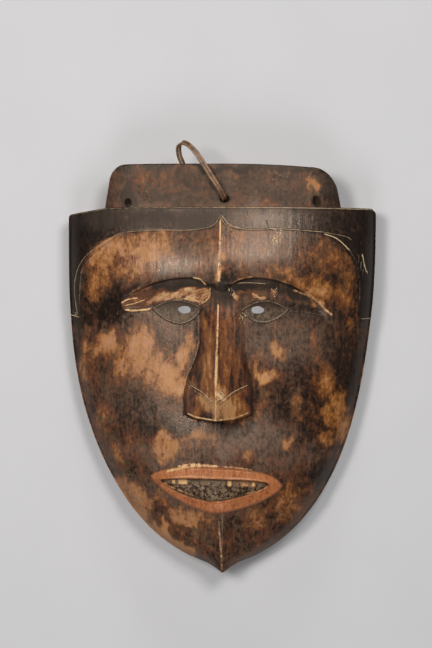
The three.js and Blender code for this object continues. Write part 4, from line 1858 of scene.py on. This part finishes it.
@dataclass
class CarvedWood:
    """Hardwood under a dark, half-glossy patina, worn through to orange-brown in streaky patches."""

    blackest: Colour = (0.008, 0.005, 0.004)
    patina: Colour = (0.022, 0.011, 0.007)
    umber: Colour = (0.064, 0.031, 0.018)
    brown: Colour = (0.126, 0.049, 0.021)
    orange: Colour = (0.235, 0.093, 0.032)
    amber: Colour = (0.33, 0.15, 0.058)
    tan: Colour = (0.395, 0.19, 0.086)
    rose: Colour = (0.39, 0.185, 0.11)
    gold: Colour = (0.35, 0.15, 0.045)
    # The grey of dust, also laid as a painted sheen.
    dust: Colour = (0.175, 0.12, 0.09)
    russet: Colour = (0.115, 0.036, 0.018)
    olive: Colour = (0.095, 0.068, 0.04)
    honey_dark: Colour = (0.105, 0.038, 0.012)
    honey: Colour = (0.235, 0.088, 0.021)
    honey_pale: Colour = (0.44, 0.215, 0.085)
    varnish: Colour = (0.18, 0.06, 0.02)
    sheen: Colour = (1.0, 0.8, 0.64)
    scratch: Colour = (0.54, 0.385, 0.225)
    ridge: Colour = (0.66, 0.43, 0.21)
    ridge_dull: Colour = (0.4, 0.2, 0.085)
    splinter: Colour = (0.56, 0.365, 0.195)
    raw: Colour = (0.38, 0.2, 0.092)
    raw_brown: Colour = (0.2, 0.078, 0.032)
    raw_dark: Colour = (0.085, 0.034, 0.018)
    lip: Colour = (0.42, 0.145, 0.052)
    lip_dark: Colour = (0.18, 0.058, 0.023)
    lid: Colour = (0.34, 0.27, 0.17)
    recess: Colour = (0.105, 0.072, 0.044)
    cavity: Colour = (0.165, 0.112, 0.068)
    tooth: Colour = (0.62, 0.38, 0.17)
    inside: Colour = (0.3, 0.17, 0.085)
    inside_dark: Colour = (0.16, 0.085, 0.042)

    def __post_init__(self) -> None:
        """Starts the material: its marks and noises, how bare it is, and its first coat of colour.

        The wood is barer on edges and where it is worn, and less so in creases and in dark places.
        """
        self.sketch = sketch = Sketch("carved wood")
        self.marks = marks = Marks(**{each.name: sketch.attribute(each.name) for each in fields(Marks)})
        self.noise = noise = Noises(
            fine=sketch.noise((0.6, 5.0, 3.0), 3.0, 0.6),
            streaks=sketch.noise((1.8, 13.0, 9.0), 4.0, 0.62, 0.3),
            mottle=sketch.noise((2.4, 3.2, 2.6), 4.0, 0.55, 0.6),
            blotch=sketch.noise((6.0, 8.0, 6.0), 6.0, 0.66, 0.6),
            cloud=sketch.noise((20.0, 27.0, 22.0), 4.0, 0.55),
            tint=sketch.noise((8.0, 11.0, 9.0), 3.0, 0.6, 0.5),
            specks=sketch.noise((0.9, 1.5, 1.1), 3.0, 0.55, 0.5),
            facets=sketch.noise((2.6, 15.0, 30.0), 3.0, 0.5, 0.5),
            fibres=sketch.noise((8.0, 0.9, 3.0), 3.0, 0.55, 0.2, dip=20.0),
        )
        self.crease = (marks.bulge * -1.0).within(0.04, 0.35)
        bare = marks.worn + (noise.blotch - 0.5) * 1.0 + (noise.mottle - 0.5) * 0.7
        bare = bare + (noise.cloud - 0.5) * 0.6 + (noise.streaks - 0.5) * 0.3
        self.bare = bare + marks.bulge.within(0.03, 0.3) * 0.3 - marks.dark * 0.36 - self.crease * 0.4
        self.colour = sketch.ramp(
            self.bare, (0.0, self.blackest), (0.16, self.patina), (0.35, self.umber), (0.52, self.brown),
            (0.66, self.orange), (0.82, self.amber), (1.0, self.tan),
        )

    def material(self) -> bpy.types.Material:
        """Lays every coat in turn.

        Returns:
            The finished material.
        """
        self.tint()
        self.age()
        self.fill_hollows()
        self.paint_mouth()
        self.split_brows()
        self.pale_ridges()
        grooves = self.knife_cuts()
        self.line_lids()
        return self.finished(grooves)

    def lay(self, factor: Any, over: Any) -> None:
        """Lays a coat of colour over what is there, by a factor."""
        self.colour = self.sketch.blend(factor, self.colour, over)

    def tint(self) -> None:
        """Makes the wood redder, greener or more golden in patches."""
        tint, golden, bare = self.noise.tint, self.marks.golden, self.bare
        mid = bare.within(0.15, 0.4) * (1.0 - bare.within(0.6, 0.85))
        self.lay(mid * (tint.within(0.5, 0.64) * 0.6 + golden * 0.3), self.russet)
        self.lay(mid * (1.0 - tint.within(0.36, 0.48)) * 0.5, self.olive)
        patch = bare.within(0.6, 0.8)
        self.lay(patch * tint.within(0.5, 0.62) * 0.5, self.rose)
        self.lay(patch * (1.0 - tint.within(0.38, 0.5)) * 0.5, self.gold)
        self.lay(golden, self.sketch.ramp(
            bare, (0.0, self.blackest), (0.3, self.patina), (0.5, self.honey_dark), (0.7, self.honey),
            (1.0, self.honey_pale),
        ))

    def age(self) -> None:
        """Lays the nose's polish, grey dust with painted sheen, dark grain, and painted shade on the steep
        sides.
        """
        marks, noise = self.marks, self.noise
        polish = noise.facets + (noise.mottle - 0.5) * 0.3 + (marks.worn - 0.62) * 0.65
        polish = polish - marks.dark * 0.25 - self.crease * 0.3
        self.lay(marks.nose * 0.85, self.sketch.ramp(
            polish, (0.2, self.patina), (0.31, self.russet), (0.42, self.varnish), (0.52, self.honey),
            (0.68, self.honey_pale),
        ))
        patchy = (noise.streaks * 0.3 + noise.mottle * 0.7).within(0.36, 0.6) * 0.5 + 0.5
        # Grey dust, and painted sheen where the lights would reflect.
        self.lay(marks.grey * (1.0 - self.bare.within(0.5, 0.85) * 0.6) * patchy * 0.64, self.dust)
        grain = (noise.fine * 0.8 + noise.streaks * 0.2).within(0.32, 0.58)
        self.lay((1.0 - grain) * 0.24, self.blackest)
        # Painted shade on steep walls, in the patina's colour.
        self.lay(marks.steep * 0.5, self.patina)

    def fill_hollows(self) -> None:
        """Lays the hollow back's plain wood and the eyes' dusty recesses, with painted shade toward each
        upper lid.
        """
        sketch, marks, noise = self.sketch, self.marks, self.noise
        back = sketch.blend(noise.streaks.within(0.3, 0.7), self.inside_dark, self.inside)
        self.lay(1.0 - marks.outside, back)
        dusty = (noise.mottle * 0.7 + noise.tint * 0.3).within(0.42, 0.6)
        # Painted shade: the recess goes to the patina's colour toward the upper lid.
        recess = sketch.blend((1.0 - marks.eye_top.within(0.4, 0.9)) * dusty, self.patina, self.recess)
        self.lay(marks.eyes * 0.95, recess)

    def paint_mouth(self) -> None:
        """Lays the reddish lips, the upper one a little paler as painted light, the dusty cavity and the
        worn teeth.
        """
        sketch, marks, noise = self.sketch, self.marks, self.noise
        redness = (noise.mottle * 0.4 + noise.streaks * 0.3 + noise.fine * 0.3).within(0.34, 0.6)
        lip = sketch.blend(redness, self.lip_dark, self.lip)
        # Painted light: the upper lip a little paler, as if it faced the light.
        lip = sketch.blend(marks.upper_lip * 0.12, lip, self.tan)
        self.lay(marks.lips * (noise.blotch + 0.4).within(0.5, 0.85), lip)
        self.lay(marks.mouth * 0.9, sketch.blend(noise.mottle.within(0.42, 0.62), self.patina, self.cavity))
        shade = marks.teeth + (noise.mottle - 0.5) * 0.5
        enamel = sketch.ramp(shade, (0.15, self.cavity), (0.5, self.lip_dark), (0.8, self.tooth))
        self.lay(marks.teeth.within(0.0, 0.2) * 0.9, enamel)

    def split_brows(self) -> None:
        """Lays the pale, fibrous wood where the hollows of the brows have split."""
        noise, fibres, split = self.noise, self.noise.fibres, self.marks.split
        pale_wood = fibres * 0.4 + noise.mottle * 0.2 + noise.tint * 0.4 + (split - 1.0) * 0.6
        torn = (split + (fibres - 0.5) * 1.2).within(0.25, 0.5) * split.within(0.0, 0.2)
        self.lay(torn, self.sketch.ramp(
            pale_wood, (0.32, self.raw_dark), (0.41, self.raw_brown), (0.5, self.raw), (0.62, self.splinter)
        ))

    def pale_ridges(self) -> None:
        """Lays the pale ridges: worn wood and in places a painted highlight, paler where they are more worn.
        """
        mottle, ridge, pale = self.noise.mottle, self.marks.ridge, self.marks.ridge_pale
        proud = (1.0 - ridge.size() + (self.noise.specks - 0.5) * 0.4).within(0.5, 0.85)
        proud = proud * (mottle * 1.5 + pale * 0.8).within(0.95, 1.35)
        # How pale a ridge is, for worn wood and painted highlights alike.
        worn = (pale + (mottle - 0.5) * 1.6).within(0.55, 1.0)
        self.lay(proud, self.sketch.blend(worn, self.ridge_dull, self.ridge))

    def knife_cuts(self) -> Value:
        """Lays a dark line of dirt and a pale scratch for each cut of the knife's point.

        Returns:
            How deep the cuts are.
        """
        marks, grooves = self.marks, []
        for out, pale in ((marks.cut, marks.cut_pale), (marks.twin, marks.twin_pale)):
            near = (1.0 - out.size()) * pale.within(0.0, 0.1)
            dirt = (1.0 - (out + 0.45).size()).within(0.5, 0.85) * pale.within(0.0, 0.1)
            self.lay(dirt * 0.55, self.blackest)
            scratched = (self.noise.mottle * 0.6 + pale * 0.8).within(0.5, 1.25)
            self.lay(near.within(0.66, 0.92) * scratched, self.scratch)
            grooves.append(near)
        return grooves[0] + grooves[1]

    def line_lids(self) -> None:
        """Lays the lids' dark edges and pale lines, and the small flecks and painted glints."""
        marks, noise = self.marks, self.noise
        self.lay(marks.lids.within(0.3, 0.6) * 0.6, self.blackest)
        self.lay(marks.lids.within(0.8, 0.97) * (noise.mottle + 0.1).within(0.4, 0.7) * 0.7, self.lid)
        # Pale flecks of scratched wood, and painted glints on the nose's tip and in the mouth.
        flecks = (noise.specks + marks.flecked * 0.1).within(0.72, 0.78)
        self.lay(flecks * marks.outside * (0.4 + marks.flecked * 0.4), self.scratch)

    def finished(self, grooves: Value) -> bpy.types.Material:
        """Adds how rough and how uneven the wood is.

        Args:
            grooves: How deep the cuts are.

        Returns:
            The material.
        """
        sketch, marks, noise = self.sketch, self.marks, self.noise
        rough = 0.31 + self.bare.within(0.5, 0.9) * 0.06 + (noise.mottle - 0.5) * 0.4
        rough = rough + (noise.streaks - 0.5) * 0.2 + marks.split * 0.2
        rough = rough - marks.nose * 0.06 + marks.matte * 0.4 + marks.steep * 0.3
        rough = rough + (1.0 - marks.outside) * 0.3
        normal = sketch.bump(noise.fine * 0.4 + noise.streaks * 0.6, 0.3, 0.45)
        normal = sketch.bump(noise.mottle, 0.3, 0.4, normal)
        normal = sketch.bump(noise.fibres * marks.split, 1.2, 0.8, normal)
        normal = sketch.bump(grooves.within(0.3, 1.0) * -1.0, 0.25, 0.7, normal)
        return sketch.finish(
            Base_Color=self.colour, Roughness=rough, Normal=normal, IOR=1.45, Specular_IOR_Level=0.5,
            Specular_Tint=self.sheen,
        )


# The thong


@dataclass
class HideThong:
    """Two narrow strips of hide side by side, through the middle hole and over the top edge."""

    strip_width: float = 2.05
    strip_thick: float = 1.35
    strip_sides: int = 12
    spread: float = 1.1
    route_steps: int = 12
    wander: tuple[Ripple, ...] = (Ripple(51, 0.12, 9, 9), Ripple(52, 0.12, 9, 9))
    plane: Place = (0.82, 0.57, 0.0)
    knot_middle: Place = (1.5, 130.2, 30.6)
    knot_size: Place = (10.5, 8.5, 7.0)
    knot_strip: float = 1.2
    knot_steps: int = 97
    route: tuple[Place, ...] = (
        (0.0015, 0.1303, 0.0305), (0.0015, 0.1303, 0.036), (0.0014, 0.1302, 0.0436),
        (-0.0002, 0.134, 0.0478), (-0.0039, 0.1402, 0.0492), (-0.0083, 0.147, 0.0494),
        (-0.0144, 0.1568, 0.0492), (-0.0204, 0.1656, 0.0484), (-0.0258, 0.1713, 0.0468),
        (-0.0308, 0.1736, 0.0436), (-0.0336, 0.171, 0.0396), (-0.0334, 0.1648, 0.035),
        (-0.0314, 0.1596, 0.0318), (-0.029, 0.155, 0.0296), (-0.0205, 0.146, 0.028),
        (-0.009, 0.1365, 0.0276), (-0.0005, 0.1306, 0.0286),
    )

    def build(self) -> list[bpy.types.Object]:
        """Makes the doubled thong and the knot behind the flange.

        Returns:
            Both pieces. The strips lie on both sides of the route, level with the plane.
        """
        line = smooth_line(self.route, self.route_steps) / MM
        ahead = unit(np.gradient(line, axis=0))
        plane = np.array(self.plane) / np.linalg.norm(self.plane)
        across = unit(plane - (ahead @ plane)[:, None] * ahead)
        rise = np.cross(ahead, across)
        along = np.concatenate([[0.0], np.cumsum(np.linalg.norm(np.diff(line, axis=0), axis=1))])
        section = rounded_section(self.strip_width, self.strip_thick, self.strip_sides)
        strips = Shape()
        for side, ripple in zip((-1, 1), self.wander):
            wander = ripple.at(along, along * 0)[:, None]
            centre = line + across * (side * self.spread + wander) + rise * wander
            strips.add_tube(carried(centre, across, rise, section))
        thong = strips.make("hide_thong")
        knot = self.knot()
        for piece in (thong, knot):
            piece.data.shade_smooth()
            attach(piece, BODY)
            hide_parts("hanging_thong")
        return [thong, knot]

    def knot(self) -> bpy.types.Object:
        """Makes the knot.

        Returns:
            A strip along a trefoil, sin t + 2 sin 2t, cos t - 2 cos 2t and -sin 3t.
        """
        t = np.linspace(0, 2 * np.pi, self.knot_steps)
        across_it, along_it = np.sin(t) + 2 * np.sin(2 * t), np.cos(t) - 2 * np.cos(2 * t)
        curve = np.stack([across_it, along_it, -np.sin(3 * t)], axis=1)
        room = (np.array(self.knot_size) / 2 - self.strip_thick) / np.array([3.0, 3.0, 1.0])
        centre = curve * room + np.array(self.knot_middle)
        ahead = np.gradient(centre, axis=0)
        ahead[0] = ahead[-1] = ahead[0] + ahead[-1]
        ahead = unit(ahead)
        across = unit(np.cross(ahead, [0.0, 0.0, 1.0]))
        thick = self.strip_width * self.knot_strip
        section = rounded_section(thick, thick, self.strip_sides)
        shape = Shape()
        numbers = shape.add_points(carried(centre, across, np.cross(ahead, across), section)[:-1])
        shape.add_sleeve(np.vstack([numbers, numbers[:1]]))
        return shape.make("thong_knot")


@dataclass(frozen=True)
class Hide:
    """Stiff rawhide, golden where it is thin and dark along its folds."""

    gold: Colour = (0.22, 0.115, 0.05)
    brown: Colour = (0.07, 0.034, 0.016)

    def material(self) -> bpy.types.Material:
        """Draws up the hide.

        Returns:
            The material: blotches of two browns, with fine wrinkles.
        """
        sketch = Sketch("hide")
        blotch = sketch.noise((4.0, 4.0, 4.0), 5.0, 0.6)
        fine = sketch.noise((0.5, 0.5, 0.5), 3.0, 0.6)
        colour = sketch.blend((blotch + (fine - 0.5) * 0.4).within(0.36, 0.62), self.brown, self.gold)
        normal = sketch.bump(fine * 0.5 + blotch, 0.18, 0.6)
        return sketch.finish(Base_Color=colour, Roughness=0.34 + blotch * 0.22, Normal=normal, IOR=1.5)


# The studio


@dataclass(frozen=True)
class Softbox:
    """A square soft light: where it is, how wide it is, how strong, and where it looks."""

    place: Place
    wide: float
    watts: float
    tone: Colour = (1.0, 1.0, 1.0)
    target: Place = (0.0, 0.0, 0.03)

    def make(self, name: str) -> None:
        """Hangs the light.

        Args:
            name: Its name.
        """
        lamp = bpy.data.lights.new(name, "AREA")
        lamp.size = self.wide
        lamp.energy = self.watts
        lamp.color = self.tone
        light = bpy.data.objects.new(name, lamp)
        light.location = self.place
        aim = Vector(self.target) - Vector(self.place)
        light.rotation_euler = aim.to_track_quat("-Z", "Y").to_euler()
        bpy.context.scene.collection.objects.link(light)


@dataclass
class Studio:
    """A pale floor, soft lights from the crown's side, and a camera that looks down on the mask."""

    camera_place: Place = (-0.00507, 0.03455, 1.4)
    lens: float = 98.3
    film: float = 36.0
    nearest: float = 0.01
    room: Colour = (0.3, 0.31, 0.32)
    room_strength: float = 0.25
    floor_size: float = 6.0
    floor_drop: float = 0.1
    floor_blotch: float = 90.0
    paper_dark: Colour = (0.5, 0.5, 0.51)
    paper: Colour = (0.54, 0.54, 0.55)
    lights: tuple[Softbox, ...] = (
        Softbox((-0.54, 0.3, 1.32), 0.35, 11.0, (1.0, 0.97, 0.94)),
        Softbox((0.38, 0.64, 1.36), 0.45, 11.5, (1.0, 0.98, 0.96)),
        Softbox((0.0, 3.2, 1.0), 0.8, 22.0),
        Softbox((-0.1, -1.2, 1.2), 0.8, 8.0),
        Softbox((0.0, 0.045, 0.031), 0.09, 0.026, target=(0.0, 0.045, 0.0)),
    )

    def place_camera(self) -> None:
        """Sets up the camera, level over the mask, with the crown upwards in its frame."""
        data = bpy.data.cameras.new("camera")
        data.lens = self.lens
        data.sensor_width = self.film
        data.sensor_fit = "AUTO"
        data.clip_start = self.nearest
        camera = bpy.data.objects.new("camera", data)
        camera.location = self.camera_place
        bpy.context.scene.collection.objects.link(camera)
        bpy.context.scene.camera = camera

    def light(self) -> None:
        """Hangs the lights and sets the grey of the room."""
        for index, light in enumerate(self.lights):
            light.make(f"softbox {index + 1}")
        world = bpy.data.worlds.new("room")
        world.use_nodes = True
        backdrop = world.node_tree.nodes["Background"].inputs
        backdrop["Color"].default_value = (*self.room, 1.0)
        backdrop["Strength"].default_value = self.room_strength
        bpy.context.scene.world = world
        bpy.context.scene.view_settings.view_transform = "Standard"

    def lay_floor(self) -> None:
        """Lays the floor, with a faint mottle, just under the plane of the rim."""
        half = self.floor_size / 2 / MM
        x, y = np.meshgrid([-half, half], [-half, half])
        shape = Shape()
        shape.add_grid(shape.add_points(np.stack([x, y, np.full(x.shape, -self.floor_drop)], axis=-1)))
        floor = shape.make("floor")
        sketch = Sketch("paper floor")
        mottle = sketch.noise((self.floor_blotch,) * 3, 3.0, 0.55)
        tone = sketch.blend(mottle, self.paper_dark, self.paper)
        floor.data.materials.append(sketch.finish(Base_Color=tone, Roughness=0.85))


def main() -> None:
    """Builds the studio, the thong and the carving."""
    logging.basicConfig(level=logging.INFO, format="%(name)s: %(message)s")
    studio = Studio()
    studio.place_camera()
    hide, wood = Hide().material(), CarvedWood().material()
    for piece in HideThong().build():
        piece.data.materials.append(hide)
        LOG.info("%s: %d faces", piece.name, len(piece.data.polygons))
    mask = MaskBody().build()
    mask.data.materials.clear()
    mask.data.materials.append(wood)
    LOG.info("%s: %d faces", mask.name, len(mask.data.polygons))
    studio.light()
    studio.lay_floor()


if __name__ == "__main__":
    main()
